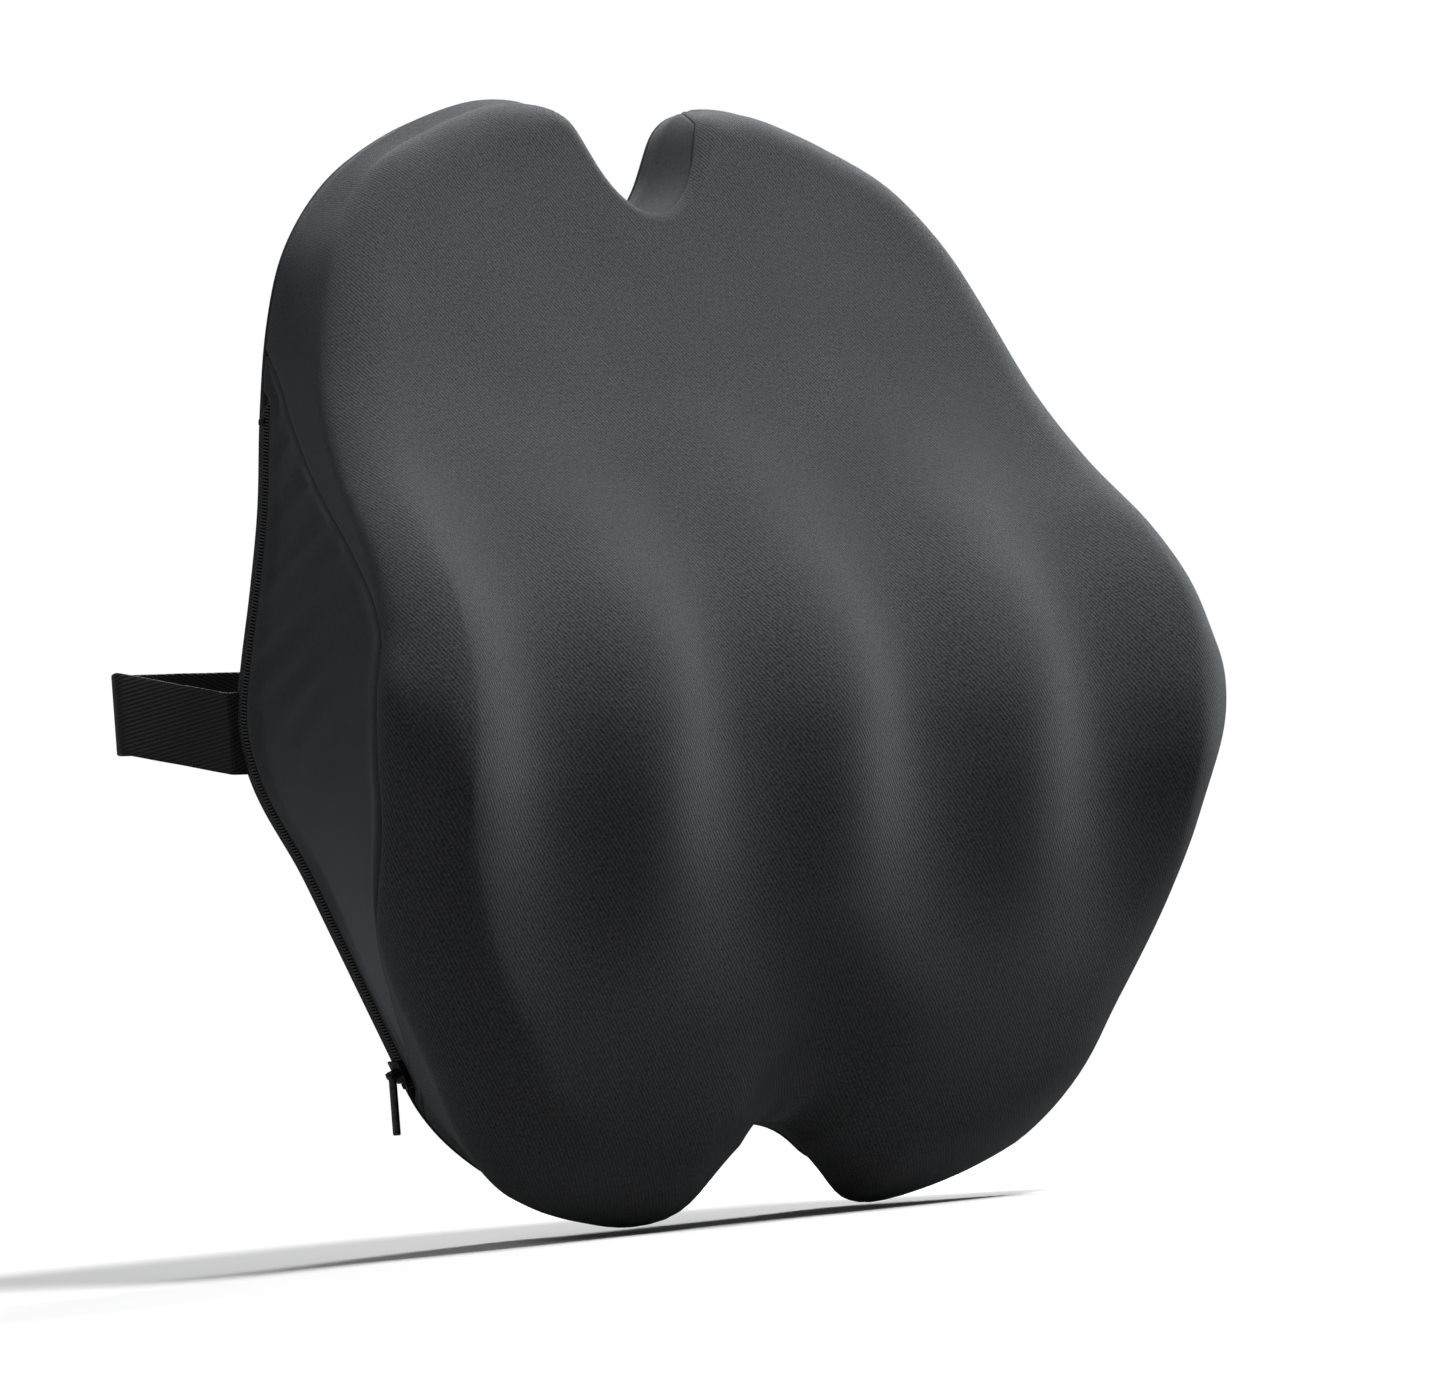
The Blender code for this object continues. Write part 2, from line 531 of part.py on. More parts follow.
def zip_pull(metal):
    """A tab that hangs from the slider's pin: a drawn outline with an eye, extruded over its width."""
    curve = bpy.data.curves.new("zipper_pull_tab", "CURVE")
    curve.dimensions = "2D"
    curve.fill_mode = "BOTH"
    curve.extrude = PULL_WIDTH / 2 * MM
    half = PULL_THICKNESS / 2
    join = math.asin(half / EYE_RADIUS)
    sweep = np.linspace(join - math.pi / 2, 1.5 * math.pi - join, 18)
    outer = [(EYE_RADIUS * math.cos(a), EYE_RADIUS * math.sin(a)) for a in sweep]
    outer += [(-half, 0.6 - PULL_LENGTH), (0.3 - half, -PULL_LENGTH)]
    outer += [(half - 0.3, -PULL_LENGTH), (half, 0.6 - PULL_LENGTH)]
    hole = [(EYE_HOLE * math.cos(a), EYE_HOLE * math.sin(a))
            for a in np.linspace(0, 2 * math.pi, 14, endpoint=False)]
    for ring in (outer, hole):
        spline = curve.splines.new("POLY")
        spline.points.add(len(ring) - 1)
        for point, (x, z) in zip(spline.points, ring):
            point.co = (x * MM, z * MM, 0, 1)
        spline.use_cyclic_u = True
    pull = bpy.data.objects.new("zipper_pull_tab", curve)
    pivot = zip_place(SLIDER_FROM_END, PIVOT_LEVEL) * MM
    pull.matrix_world = Matrix.Translation(pivot) @ Matrix.Rotation(math.pi / 2, 4, "X")
    return finished(pull, metal)


# ---------------------------------------------------------------- strap, adjuster and buckle


def filleted(corners, radii, steps=5):
    """A polyline through corners (x, y, z) with each inner corner rounded in plan."""
    corners = [Vector(c) for c in corners]
    path = [corners[0]]
    for before, corner, after, radius in zip(corners, corners[1:], corners[2:], radii):
        back, ahead = (before - corner).normalized(), (after - corner).normalized()
        turn = math.pi - back.angle(ahead)
        cut = radius * math.tan(turn / 2)
        start, end = corner + back * cut, corner + ahead * cut
        for t in np.linspace(0, 1, steps + 1):
            path.append(start.lerp(corner, t).lerp(corner.lerp(end, t), t))
    return path + [corners[-1]]


def webbing(name, path, width=STRAP_WIDTH, thickness=STRAP_THICKNESS):
    """Flat webbing that stands on edge along a path, with Solidify for its thickness."""
    points = [(p.x, p.y, p.z + side * width / 2) for p in path for side in (-1, 1)]
    faces = [(2 * k, 2 * k + 1, 2 * k + 3, 2 * k + 2) for k in range(len(path) - 1)]
    strap = mesh_object(name, points, faces)
    solid = strap.modifiers.new("thickness", "SOLIDIFY")
    solid.thickness = thickness * MM
    solid.offset = 0
    solid.use_even_offset = True
    return finished(strap, material("elastic_webbing", BLACK_WEBBING, 0.75))


def strap_route(side, bar_x):
    """From the sewn tail in the cover, round the backrest's edge, to the buckle bar and back on itself."""
    toward = -side  # the rear run goes back towards the other side
    loop, gap = BUCKLE_MID - REAR_RUN, 2.0
    corners = [
        (side * TAIL_END, -TAIL_DEPTH, STRAP_HEIGHT), (side * STRAP_EXIT, -TAIL_DEPTH, STRAP_HEIGHT),
        (side * CHAIR_EDGE, CHAIR_FRONT, LOOP_HEIGHT), (side * (CHAIR_EDGE - 3), REAR_RUN, LOOP_HEIGHT),
        (bar_x, REAR_RUN, LOOP_HEIGHT),
    ]
    path = filleted(corners, (3, 5, 6))
    middle = Vector((bar_x, BUCKLE_MID, LOOP_HEIGHT))
    for angle in np.linspace(-90, 90, 9)[1:]:
        a = math.radians(angle)
        path.append(middle + Vector((toward * loop * math.cos(a), loop * math.sin(a), 0)))
    path.append(Vector((bar_x - toward * 5, BUCKLE_MID + loop, LOOP_HEIGHT)))
    path.append(Vector((bar_x - toward * 12, REAR_RUN + gap, LOOP_HEIGHT)))
    path.append(Vector((bar_x - toward * 30, REAR_RUN + gap, LOOP_HEIGHT)))
    return path


def straps():
    bar_middle = BAR - 0.6
    webbing("strap_left", strap_route(-1, BUCKLE_AT + bar_middle))
    plug_end = BUCKLE_AT + PLUG_START + PLUG_LENGTH
    webbing("strap_right", strap_route(1, plug_end - bar_middle))
    patch_look = material("anchor_patch", BLACK_JERSEY, 0.85)
    for side, name in ((-1, "left"), (1, "right")):
        x = sorted((side * (TAIL_END + 1), side * (TAIL_END + 1 + ANCHOR_LENGTH)))
        half = ANCHOR_WIDTH / 2
        anchor = box((x[0], -4.7, STRAP_HEIGHT - half), (x[1], -3.5, STRAP_HEIGHT + half), 0.2)
        finished(to_object(f"strap_anchor_{name}", anchor), patch_look)


def buckle():
    plastic = material("moulded_nylon", BLACK_PLASTIC, 0.4)
    half, thick = BUCKLE_WIDTH / 2, BUCKLE_THICKNESS / 2
    x0, y0, z0 = BUCKLE_AT, BUCKLE_MID, LOOP_HEIGHT
    shell = box((x0 + BAR + SLOT, y0 - thick, z0 - half), (x0 + SOCKET_LENGTH, y0 + thick, z0 + half), 1.0)
    bar = box((x0, y0 - BAR_THICKNESS / 2, z0 - half), (x0 + BAR, y0 + BAR_THICKNESS / 2, z0 + half), 0.3)
    rails = [box((x0, y0 - 2.4, z0 + low), (x0 + BAR + SLOT + 2, y0 + 2.4, z0 + high), 0.6)
             for low, high in ((-half, -SLOT_HALF), (SLOT_HALF, half))]
    cavity = box((x0 + CAVITY_START, y0 - CAVITY_HEIGHT / 2, z0 - CAVITY_HALF),
                 (x0 + SOCKET_LENGTH + 2, y0 + CAVITY_HEIGHT / 2, z0 + CAVITY_HALF))
    window = box((x0 + 13.5, y0 - CAVITY_HEIGHT / 2, z0 - half - 2),
                 (x0 + 26, y0 + CAVITY_HEIGHT / 2, z0 + half + 2))
    socket = assembled("buckle_socket", shell, [bar] + rails, [cavity, window])
    finished(socket, plastic)

    start, end = x0 + PLUG_START, x0 + PLUG_START + PLUG_LENGTH
    base = box((start, y0 - thick + 0.5, z0 - half), (end - BAR - SLOT, y0 + thick - 0.5, z0 + half), 1.0)
    bar = box((end - BAR, y0 - BAR_THICKNESS / 2, z0 - half), (end, y0 + BAR_THICKNESS / 2, z0 + half), 0.3)
    rails = [box((end - BAR - SLOT - 2, y0 - 2.4, z0 + low), (end, y0 + 2.4, z0 + high), 0.6)
             for low, high in ((-half, -SLOT_HALF), (SLOT_HALF, half))]
    guide = box((x0 + 13, y0 - 2.3, z0 - 2.2), (start + 2, y0 + 2.3, z0 + 2.2), 0.5)
    finished(assembled("buckle_plug", base, [bar, guide] + rails), plastic)
    for side, name in ((1, "upper"), (-1, "lower")):
        prong(f"buckle_prong_{name}", side, plastic)


def prong(name, side, plastic):
    """A sprung arm of the plug: a drawn outline with a catch, extruded over its thickness."""
    near, far = PRONG_OFFSET - PRONG_HALF, PRONG_OFFSET + PRONG_HALF
    root = [(PRONG_PIVOT + PRONG_HALF * math.sin(a), PRONG_OFFSET + PRONG_HALF * math.cos(a))
            for a in np.linspace(0, math.pi, 7)]
    arm = root + [(16, near), (14.4, near + 0.8), (14, near + 2.2), (15, near + 4.5), (18.5, 19.4),
                  (24, 19.9), (24.8, 19.2), (25.2, 15.4), (26.6, far + 0.3), (29, far)]
    curve = bpy.data.curves.new(name, "CURVE")
    curve.dimensions = "2D"
    curve.fill_mode = "BOTH"
    curve.extrude = PRONG_THICKNESS / 2 * MM
    spline = curve.splines.new("POLY")
    spline.points.add(len(arm) - 1)
    for point, (x, z) in zip(spline.points, arm):
        point.co = ((x - PRONG_PIVOT) * MM, side * (z - PRONG_OFFSET) * MM, 0, 1)
    spline.use_cyclic_u = True
    obj = bpy.data.objects.new(name, curve)
    place = Vector((BUCKLE_AT + PRONG_PIVOT, BUCKLE_MID, LOOP_HEIGHT + side * PRONG_OFFSET)) * MM
    obj.matrix_world = Matrix.Translation(place) @ Matrix.Rotation(math.pi / 2, 4, "X")
    return finished(obj, plastic)


def tri_glide():
    """Two outer bars in front of the webbing, one centre bar behind it, and a rail at each edge."""
    x0, y0, z0 = GLIDE_AT, REAR_RUN, LOOP_HEIGHT
    half, rail = GLIDE_LENGTH / 2, GLIDE_HALF
    rails = [box((x0 - half, y0 - 3.0, z0 + low), (x0 + half, y0 + 3.0, z0 + high), 0.8)
             for low, high in ((-rail, GLIDE_RAIL - rail), (rail - GLIDE_RAIL, rail))]
    bars = [box((x0 + at - 1.6, y0 - 2.9, z0 - rail + 1), (x0 + at + 1.6, y0 - 1.2, z0 + rail - 1), 0.5)
            for at in (1.6 - half, half - 1.6)]
    centre = box((x0 - 2.0, y0 + 1.2, z0 - rail + 1), (x0 + 2.0, y0 + 2.9, z0 + rail - 1), 0.5)
    glide = assembled("strap_tri_glide", rails[0], bars + [centre, rails[1]])
    return finished(glide, material("moulded_nylon", BLACK_PLASTIC, 0.4))


foam_core()
cover_front_panel()
cover_gussets()
cover_back_panel()
zipper()
straps()
buckle()
tri_glide()
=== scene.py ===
"""Lumbar support cushion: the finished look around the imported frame.

Lengths of the cushion are in millimetres and become metres when meshes are made. Depth is measured forward
from the back panel, so a point at depth q has y = -q. The front faces -Y and the strap loop is behind.
"""

import math

import bmesh
import bpy
import numpy as np
from mathutils import Matrix, Vector


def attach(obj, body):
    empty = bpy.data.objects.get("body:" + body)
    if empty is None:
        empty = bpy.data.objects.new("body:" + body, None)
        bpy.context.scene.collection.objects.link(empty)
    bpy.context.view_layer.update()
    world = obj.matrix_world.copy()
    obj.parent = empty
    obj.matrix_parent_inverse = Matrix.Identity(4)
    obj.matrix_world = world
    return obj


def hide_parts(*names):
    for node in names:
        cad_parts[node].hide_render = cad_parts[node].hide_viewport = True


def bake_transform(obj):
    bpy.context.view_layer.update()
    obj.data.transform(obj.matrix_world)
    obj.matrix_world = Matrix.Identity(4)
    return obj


MM = 0.001
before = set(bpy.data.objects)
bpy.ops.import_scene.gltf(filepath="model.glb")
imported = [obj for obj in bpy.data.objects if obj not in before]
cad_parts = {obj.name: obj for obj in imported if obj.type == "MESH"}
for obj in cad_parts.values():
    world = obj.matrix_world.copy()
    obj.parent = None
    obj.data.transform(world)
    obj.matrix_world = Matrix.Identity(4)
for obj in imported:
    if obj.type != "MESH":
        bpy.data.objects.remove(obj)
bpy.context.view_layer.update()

# ---------------------------------------------------------------- driving dimensions

# Half outline of the back panel as (x, z), from the foot of the top notch to the crown of the bottom notch.
OUTLINE = [
    (0, 183), (9, 187), (16, 196), (22, 209), (28, 221), (38, 228), (56, 229), (74, 225),
    (100, 214), (127, 195), (147, 168), (157, 138), (163, 102), (167, 66), (173, 34), (180, 2),
    (183, -20), (177, -45), (159, -79), (121, -164), (111, -179), (97, -192), (83, -201), (70, -205),
    (60, -202), (53, -195), (43, -189), (24, -186), (0, -186),
]
ZIP_RUN = (18, 19)  # the outline is straight between these two points, where the slider travels
LOBE_TOP, LOBE_BOTTOM = 6, 23  # outline points between which the sides run
OUTLINE_STEP = 3.4
OUTLINE_SOFTNESS, NORMAL_SOFTNESS, FACE_SOFTNESS = 2, 8, 12  # times that the corners of a ring are evened out

# The padding at each height: (height, depth on the centre line, depth at the rim, how far the front stands
# wider than the back, radius of the front edge).
STATIONS = [
    (-230, 78, 74, 32, 27), (-205, 92, 90, 32, 27), (-180, 104, 102, 31, 28), (-150, 116, 112, 33, 29),
    (-110, 128, 124, 34, 30), (-80, 136, 135, 29, 27), (-50, 141, 147, 18, 24), (-25, 142, 151, 11, 22),
    (-5, 138, 150, 8, 22), (15, 129, 144, 8, 22), (40, 113, 127, 9, 22), (70, 93, 99, 8, 22),
    (100, 75, 79, 4, 22), (140, 58, 63, -2, 20), (180, 46, 50, -5, 18), (230, 36, 36, -6, 16),
]
RIM_HUG = 2.4  # how late the front rises from the centre line to the wings
FLARE_START, FLARE_REACH = 40, 60  # the front is wider only away from the centre line
RIB_PITCH, RIB_HEIGHT, RIB_FADE = 85, 7.5, 186
RIB_CENTRE, RIB_REACH_UP, RIB_REACH_DOWN = -25, 135, 125
NOTCH_HALF = 34
NOTCH_EDGE_RADIUS, NOTCH_OPENING = 5, 5  # the top notch has a crisp edge and opens to the front
CROWN_FALL, CROWN_LEVELS = 4, (190, 225)  # how far the front of the upper lobes lies below their back
LOBE_LEAN, LEAN_REACH = 0.60, 92  # how much the lower lobes lean together towards the front
LOBE_DROP, DROP_LEVELS, DROP_HALVES = 17, (-150, -200), (14, 62)  # how far their front hangs below their back
VALLEY_DEPTH, VALLEY_HALF, VALLEY_TOP, VALLEY_FOOT = 9, 30, -105, -180  # hollow above the bottom notch
EDGE_STRIP = 12.5  # the side wall is square to the back panel up to this depth
BACK_TURN = 2.4  # the back panel's edge is rounded over this much
FOAM_INSET = 5.0  # the foam stays this far under the cover's outer face

# Seam between the front panel and each side gusset: (height, depth), without its two tips at the back edge.
SEAM = [
    (117, 14), (95, 32), (65, 62), (35, 99), (5, 127), (-20, 131), (-50, 127), (-85, 110), (-120, 78),
    (-160, 17),
]
SEAM_TIPS = (128, -174)
BACK_SEAM, ZIP_SEAM = 3.2, 9.9
ZIP_TOP, ZIP_FOOT, ZIP_BACK_SEAM, ZIP_END_GAP = 102, -162, 4.3, 3.0
ZIP_TAIL, ZIP_TAIL_SINK = 7, 2.4  # past its stop the zipper runs in under the cloth
TAPE_BACK, TAPE_FRONT, TAPE_STEP = (3.6, 4.9), (9.1, 12.4), 2.0
COIL_PITCH, COIL_WIRE, COIL_BACK, COIL_MIDDLE, COIL_FRONT = 1.3, 0.42, 4.9, 7.0, 9.1
NOTCH_STRIP_END, NOTCH_STRIP_FULL = 43.0, 29.0
SEAM_DIP, SEAM_WIDTH, SEAM_TUCK = 0.5, 0.9, 2.5  # cloth dips at a seam, and its edge is tucked in behind

# The knit's relief is a mix of stitches and fuzz, and its colour is read off that relief: painted shade in its
# hollows and painted highlight on its raised stitches, with small random patches of real tone.
KNIT_DRIFT, KNIT_DRIFT_SCALE = 4.5, 0.30  # how far rows of stitches wander, and how fast
STITCH_SHARE, FUZZ_SHARE, PATCH_SHARE = 0.40, 0.90, 0.10
FUZZ_SCALE, PATCH_SCALE = 0.75, 0.02
# Ramp ends: below the first the knit takes its painted shade colour, above the second its painted highlight
# colour.
PAINTED_SHADE_BELOW, PAINTED_HIGHLIGHT_ABOVE = 0.54, 0.94

STRAP_WIDTH, STRAP_THICKNESS = 32.0, 1.6
TWILL_PITCH, TWILL_SLOPE = 1.6, 0.45
STRAP_HEIGHT, LOOP_HEIGHT = -21.0, -9.0
TAIL_END, TAIL_DEPTH, STRAP_EXIT = 150.0, 2.3, 186.5
CHAIR_EDGE, CHAIR_FRONT, REAR_RUN = 218.0, 27.0, 37.6
BUCKLE_AT, BUCKLE_MID, PLUG_START, PLUG_LENGTH = 50.0, 40.0, 36.5, 15.5

FLOOR_Z = -223.5
FLOOR_RADIUS, FLOOR_FADE_START, FLOOR_FADE_END = 1.6, 0.35, 1.25  # metres
FLOOR_SEEN, FLOOR_BOUNCE = 0.86, 0.17  # its grey for the camera, and what it sends back up to the cushion

# ---------------------------------------------------------------- camera, light, floor

VIEW_AZIMUTH, VIEW_ELEVATION, VIEW_ROLL = -33.0, -5.0, 4.8
VIEW_DISTANCE, VIEW_LENS = 1.86, 118.4
AIM = Vector((0, -0.05, 0))
AIM_RIGHT, AIM_DOWN = 0.0051, 0.0139


def camera():
    a, e, roll = map(math.radians, (VIEW_AZIMUTH, VIEW_ELEVATION, VIEW_ROLL))
    back = Vector((math.sin(a) * math.cos(e), -math.cos(a) * math.cos(e), math.sin(e)))
    level = Vector((0, 0, 1)).cross(back).normalized()
    up = back.cross(level)
    right = level * math.cos(roll) - up * math.sin(roll)
    up = level * math.sin(roll) + up * math.cos(roll)
    data = bpy.data.cameras.new("camera")
    data.lens = VIEW_LENS
    data.sensor_width = 36.0
    obj = bpy.data.objects.new("camera", data)
    place = AIM + back * VIEW_DISTANCE
    look = (AIM + right * AIM_RIGHT - up * AIM_DOWN - place).normalized()
    side = look.cross(up).normalized()
    turn = Matrix((side, side.cross(look), -look)).transposed().to_4x4()
    obj.matrix_world = Matrix.Translation(place) @ turn
    bpy.context.scene.collection.objects.link(obj)
    bpy.context.scene.camera = obj


def area_light(name, place, aim, size, power):
    data = bpy.data.lights.new(name, "AREA")
    data.shape = "DISK"
    data.size = size
    data.energy = power
    obj = bpy.data.objects.new(name, data)
    obj.location = place
    obj.rotation_mode = "QUATERNION"
    obj.rotation_quaternion = (Vector(aim) - Vector(place)).to_track_quat("-Z", "Y")
    bpy.context.scene.collection.objects.link(obj)


def lights():
    area_light("key", (0.75, -0.95, 2.1), (0.0, -0.05, 0.0), 0.8, 90)
    area_light("fill", (-1.9, -0.7, 1.5), (0.0, -0.05, 0.0), 1.2, 10)
    area_light("rim", (1.3, 0.9, 1.5), (0.1, -0.05, 0.1), 0.8, 45)
    world = bpy.data.worlds.new("studio")
    world.use_nodes = True
    tree = world.node_tree
    tree.nodes.clear()
    path = tree.nodes.new("ShaderNodeLightPath")
    seen = tree.nodes.new("ShaderNodeBackground")
    seen.inputs["Color"].default_value = (1, 1, 1, 1)
    lit = tree.nodes.new("ShaderNodeBackground")
    lit.inputs["Color"].default_value = (0.97, 0.985, 1.0, 1)
    lit.inputs["Strength"].default_value = 0.10
    mix = tree.nodes.new("ShaderNodeMixShader")
    out = tree.nodes.new("ShaderNodeOutputWorld")
    tree.links.new(path.outputs["Is Camera Ray"], mix.inputs["Fac"])
    tree.links.new(lit.outputs["Background"], mix.inputs[1])
    tree.links.new(seen.outputs["Background"], mix.inputs[2])
    tree.links.new(mix.outputs["Shader"], out.inputs["Surface"])
    bpy.context.scene.world = world
    bpy.context.scene.view_settings.view_transform = "Standard"


def floor():
    """A pale disc that fades out towards its rim."""
    made = bmesh.new()
    bmesh.ops.create_circle(made, cap_ends=True, radius=FLOOR_RADIUS, segments=96)
    mesh = bpy.data.meshes.new("floor")
    made.to_mesh(mesh)
    made.free()
    obj = bpy.data.objects.new("floor", mesh)
    obj.location = (0, 0, FLOOR_Z * MM)
    bpy.context.scene.collection.objects.link(obj)
    look = Nodes("floor", (FLOOR_SEEN,) * 3, 0.6)
    coords = look.add("ShaderNodeTexCoord")
    length = look.add("ShaderNodeVectorMath", operation="LENGTH")
    look.link(coords, "Object", length, 0)
    fade = look.add("ShaderNodeMapRange", interpolation_type="SMOOTHSTEP")
    look.link(length, "Value", fade, "Value")
    fade.inputs["From Min"].default_value = FLOOR_FADE_START
    fade.inputs["From Max"].default_value = FLOOR_FADE_END
    fade.inputs["To Min"].default_value = 1.0
    fade.inputs["To Max"].default_value = 0.0
    look.link(fade, "Result", look.shader, "Alpha")
    path = look.add("ShaderNodeLightPath")
    tone = look.add("ShaderNodeMix", data_type="RGBA")
    tone.inputs["A"].default_value = (FLOOR_BOUNCE, FLOOR_BOUNCE, FLOOR_BOUNCE, 1)
    tone.inputs["B"].default_value = (FLOOR_SEEN, FLOOR_SEEN, FLOOR_SEEN, 1)
    look.link(path, "Is Camera Ray", tone, "Factor")
    look.colour(tone.outputs["Result"])
    obj.data.materials.append(look.material)


# ---------------------------------------------------------------- materials


class Nodes:
    """A Principled material and short calls that add nodes to it."""

    def __init__(self, name, colour, roughness, metallic=0.0):
        self.material = bpy.data.materials.new(name)
        self.material.use_nodes = True
        self.tree = self.material.node_tree
        self.shader = self.tree.nodes["Principled BSDF"]
        self.shader.inputs["Base Color"].default_value = (*colour, 1)
        self.shader.inputs["Roughness"].default_value = roughness
        self.shader.inputs["Metallic"].default_value = metallic

    def add(self, kind, **settings):
        node = self.tree.nodes.new(kind)
        for name, value in settings.items():
            setattr(node, name, value)
        return node

    def link(self, node, output, other, socket):
        self.tree.links.new(node.outputs[output], other.inputs[socket])

    def math(self, operation, *values):
        node = self.add("ShaderNodeMath", operation=operation)
        for index, value in enumerate(values):
            if isinstance(value, (int, float)):
                node.inputs[index].default_value = value
            else:
                self.tree.links.new(value, node.inputs[index])
        return node.outputs[0]

    def axes(self, attribute):
        """The two pattern coordinates of a fabric, in millimetres."""
        source = self.add("ShaderNodeAttribute", attribute_name=attribute)
        split = self.add("ShaderNodeSeparateXYZ")
        self.link(source, "Vector", split, 0)
        return split.outputs["X"], split.outputs["Y"], source.outputs["Vector"]

    def noise(self, vector, scale, detail=2.0, roughness=0.5):
        node = self.add("ShaderNodeTexNoise")
        node.inputs["Scale"].default_value = scale
        node.inputs["Detail"].default_value = detail
        node.inputs["Roughness"].default_value = roughness
        self.tree.links.new(vector, node.inputs["Vector"])
        return node.outputs["Fac"]

    def ramp(self, factor, stops):
        node = self.add("ShaderNodeValToRGB")
        elements = node.color_ramp.elements
        while len(elements) < len(stops):
            elements.new(0.5)
        for element, (place, colour) in zip(elements, stops):
            element.position = place
            element.color = (*colour, 1)
        self.tree.links.new(factor, node.inputs["Fac"])
        return node.outputs["Color"]

    def bump(self, height, distance, strength=1.0):
        node = self.add("ShaderNodeBump")
        node.inputs["Distance"].default_value = distance
        node.inputs["Strength"].default_value = strength
        self.tree.links.new(height, node.inputs["Height"])
        self.tree.links.new(node.outputs["Normal"], self.shader.inputs["Normal"])

    def colour(self, output):
        self.tree.links.new(output, self.shader.inputs["Base Color"])

    def sheen(self, weight, roughness, tint=(1, 1, 1)):
        self.shader.inputs["Sheen Weight"].default_value = weight
        self.shader.inputs["Sheen Roughness"].default_value = roughness
        self.shader.inputs["Sheen Tint"].default_value = (*tint, 1)


def knit_material(name, across, down, lean, painted_shade, painted_highlight, bump):
    """Staggered raised stitches: the product of two waves, one across and one down the cloth. Their colour is
    painted shade in the hollows and painted highlight on the raised stitches.
    """
    look = Nodes(name, painted_highlight, 0.85)
    u, v, vector = look.axes("knit")
    wander = look.noise(vector, KNIT_DRIFT_SCALE, 5.0, 0.8)
    drift = look.math("MULTIPLY", look.math("SUBTRACT", wander, 0.5), KNIT_DRIFT)
    slanted = look.math("ADD", look.math("ADD", u, drift), look.math("MULTIPLY", v, lean))
    angle_u = look.math("MULTIPLY", slanted, math.pi / across)
    angle_v = look.math("MULTIPLY", look.math("SUBTRACT", v, drift), math.pi / down)
    rows = [look.math("ABSOLUTE", look.math("MULTIPLY", look.math(wave, angle_u), look.math(wave, angle_v)))
            for wave in ("COSINE", "SINE")]
    stitch = look.math("MULTIPLY", look.math("MAXIMUM", *rows), STITCH_SHARE)
    fuzz = look.math("MULTIPLY", look.noise(vector, FUZZ_SCALE, 4.0, 0.85), FUZZ_SHARE)
    patch = look.math("MULTIPLY", look.noise(vector, PATCH_SCALE, 2.0), PATCH_SHARE)
    height = look.math("ADD", stitch, fuzz)
    # Colour from the relief: painted shade in the hollows, painted highlight on the stitches; the patches are
    # real random tone.
    look.colour(look.ramp(look.math("ADD", height, patch), [(PAINTED_SHADE_BELOW, painted_shade), (PAINTED_HIGHLIGHT_ABOVE, painted_highlight)]))
    look.bump(height, bump * MM, 0.9)
    look.sheen(0.30, 0.35, (0.92, 0.96, 1.0))
    look.shader.inputs["Specular IOR Level"].default_value = 0.30
    return look.material


def webbing_material():
    """Elastic twill: fine ribs that cross the band at a slant, broken up by the threads. Its colour is painted
    shade in the grooves and painted highlight on the ribs.
    """
    look = Nodes("elastic_webbing", (0.012, 0.012, 0.013), 0.7)
    u, v, vector = look.axes("weave")
    slanted = look.math("ADD", v, look.math("MULTIPLY", u, TWILL_SLOPE))
    rib = look.math("SINE", look.math("MULTIPLY", slanted, 2 * math.pi / TWILL_PITCH))
    thread = look.math("SINE", look.math("MULTIPLY", u, 2 * math.pi / 1.1))
    height = look.math("ADD", look.math("MULTIPLY", rib, 0.42), look.math("MULTIPLY", thread, 0.14))
    height = look.math("ADD", height, look.math("MULTIPLY", look.noise(vector, 1.2, 3.0), 0.3))
    # Colour from the rib height: painted shade in the grooves, painted highlight on the ribs.
    look.colour(look.ramp(height, [(0.0, (0.004, 0.004, 0.0045)), (0.6, (0.020, 0.020, 0.021))]))
    look.bump(height, 0.30 * MM, 0.9)
    look.sheen(0.15, 0.4)
    return look.material


def cloth_tape_material(name, painted_shade, painted_highlight):
    """Fine plain-woven tape, its colour painted shade in the low places of the weave and painted highlight on
    the high ones.
    """
    look = Nodes(name, painted_highlight, 0.8)
    u, v, vector = look.axes("knit")
    warp = look.math("SINE", look.math("MULTIPLY", u, 2 * math.pi / 0.7))
    weft = look.math("SINE", look.math("MULTIPLY", v, 2 * math.pi / 0.5))
    height = look.math("ADD", look.math("MULTIPLY", warp, weft), look.noise(vector, 1.5, 2.0))
    # Colour from the weave's height: painted shade in its low places, painted highlight on its high ones.
    look.colour(look.ramp(height, [(0.0, painted_shade), (1.0, painted_highlight)]))
    look.bump(height, 0.08 * MM, 0.8)
    return look.material


def plastic_material(name, colour, roughness, grain):
    """Moulded plastic with a fine spark-eroded grain."""
    look = Nodes(name, colour, roughness)
    coords = look.add("ShaderNodeTexCoord")
    speckle = look.noise(coords.outputs["Object"], 2600.0, 2.0)
    look.bump(speckle, grain * MM, 0.35)
    return look.material


def metal_material():
    look = Nodes("blackened_metal", (0.030, 0.030, 0.032), 0.32, 0.85)
    coords = look.add("ShaderNodeTexCoord")
    wear = look.noise(coords.outputs["Object"], 900.0, 4.0)
    look.colour(look.ramp(wear, [(0.35, (0.018, 0.018, 0.019)), (0.75, (0.06, 0.06, 0.062))]))
    return look.material


def foam_material():
    look = Nodes("memory_foam", (0.82, 0.80, 0.72), 0.95)
    coords = look.add("ShaderNodeTexCoord")
    cells = look.add("ShaderNodeTexVoronoi")
    cells.inputs["Scale"].default_value = 900.0
    look.link(coords, "Object", cells, "Vector")
    look.bump(cells.outputs["Distance"], 0.3 * MM, 0.6)
    return look.material


# ---------------------------------------------------------------- meshes


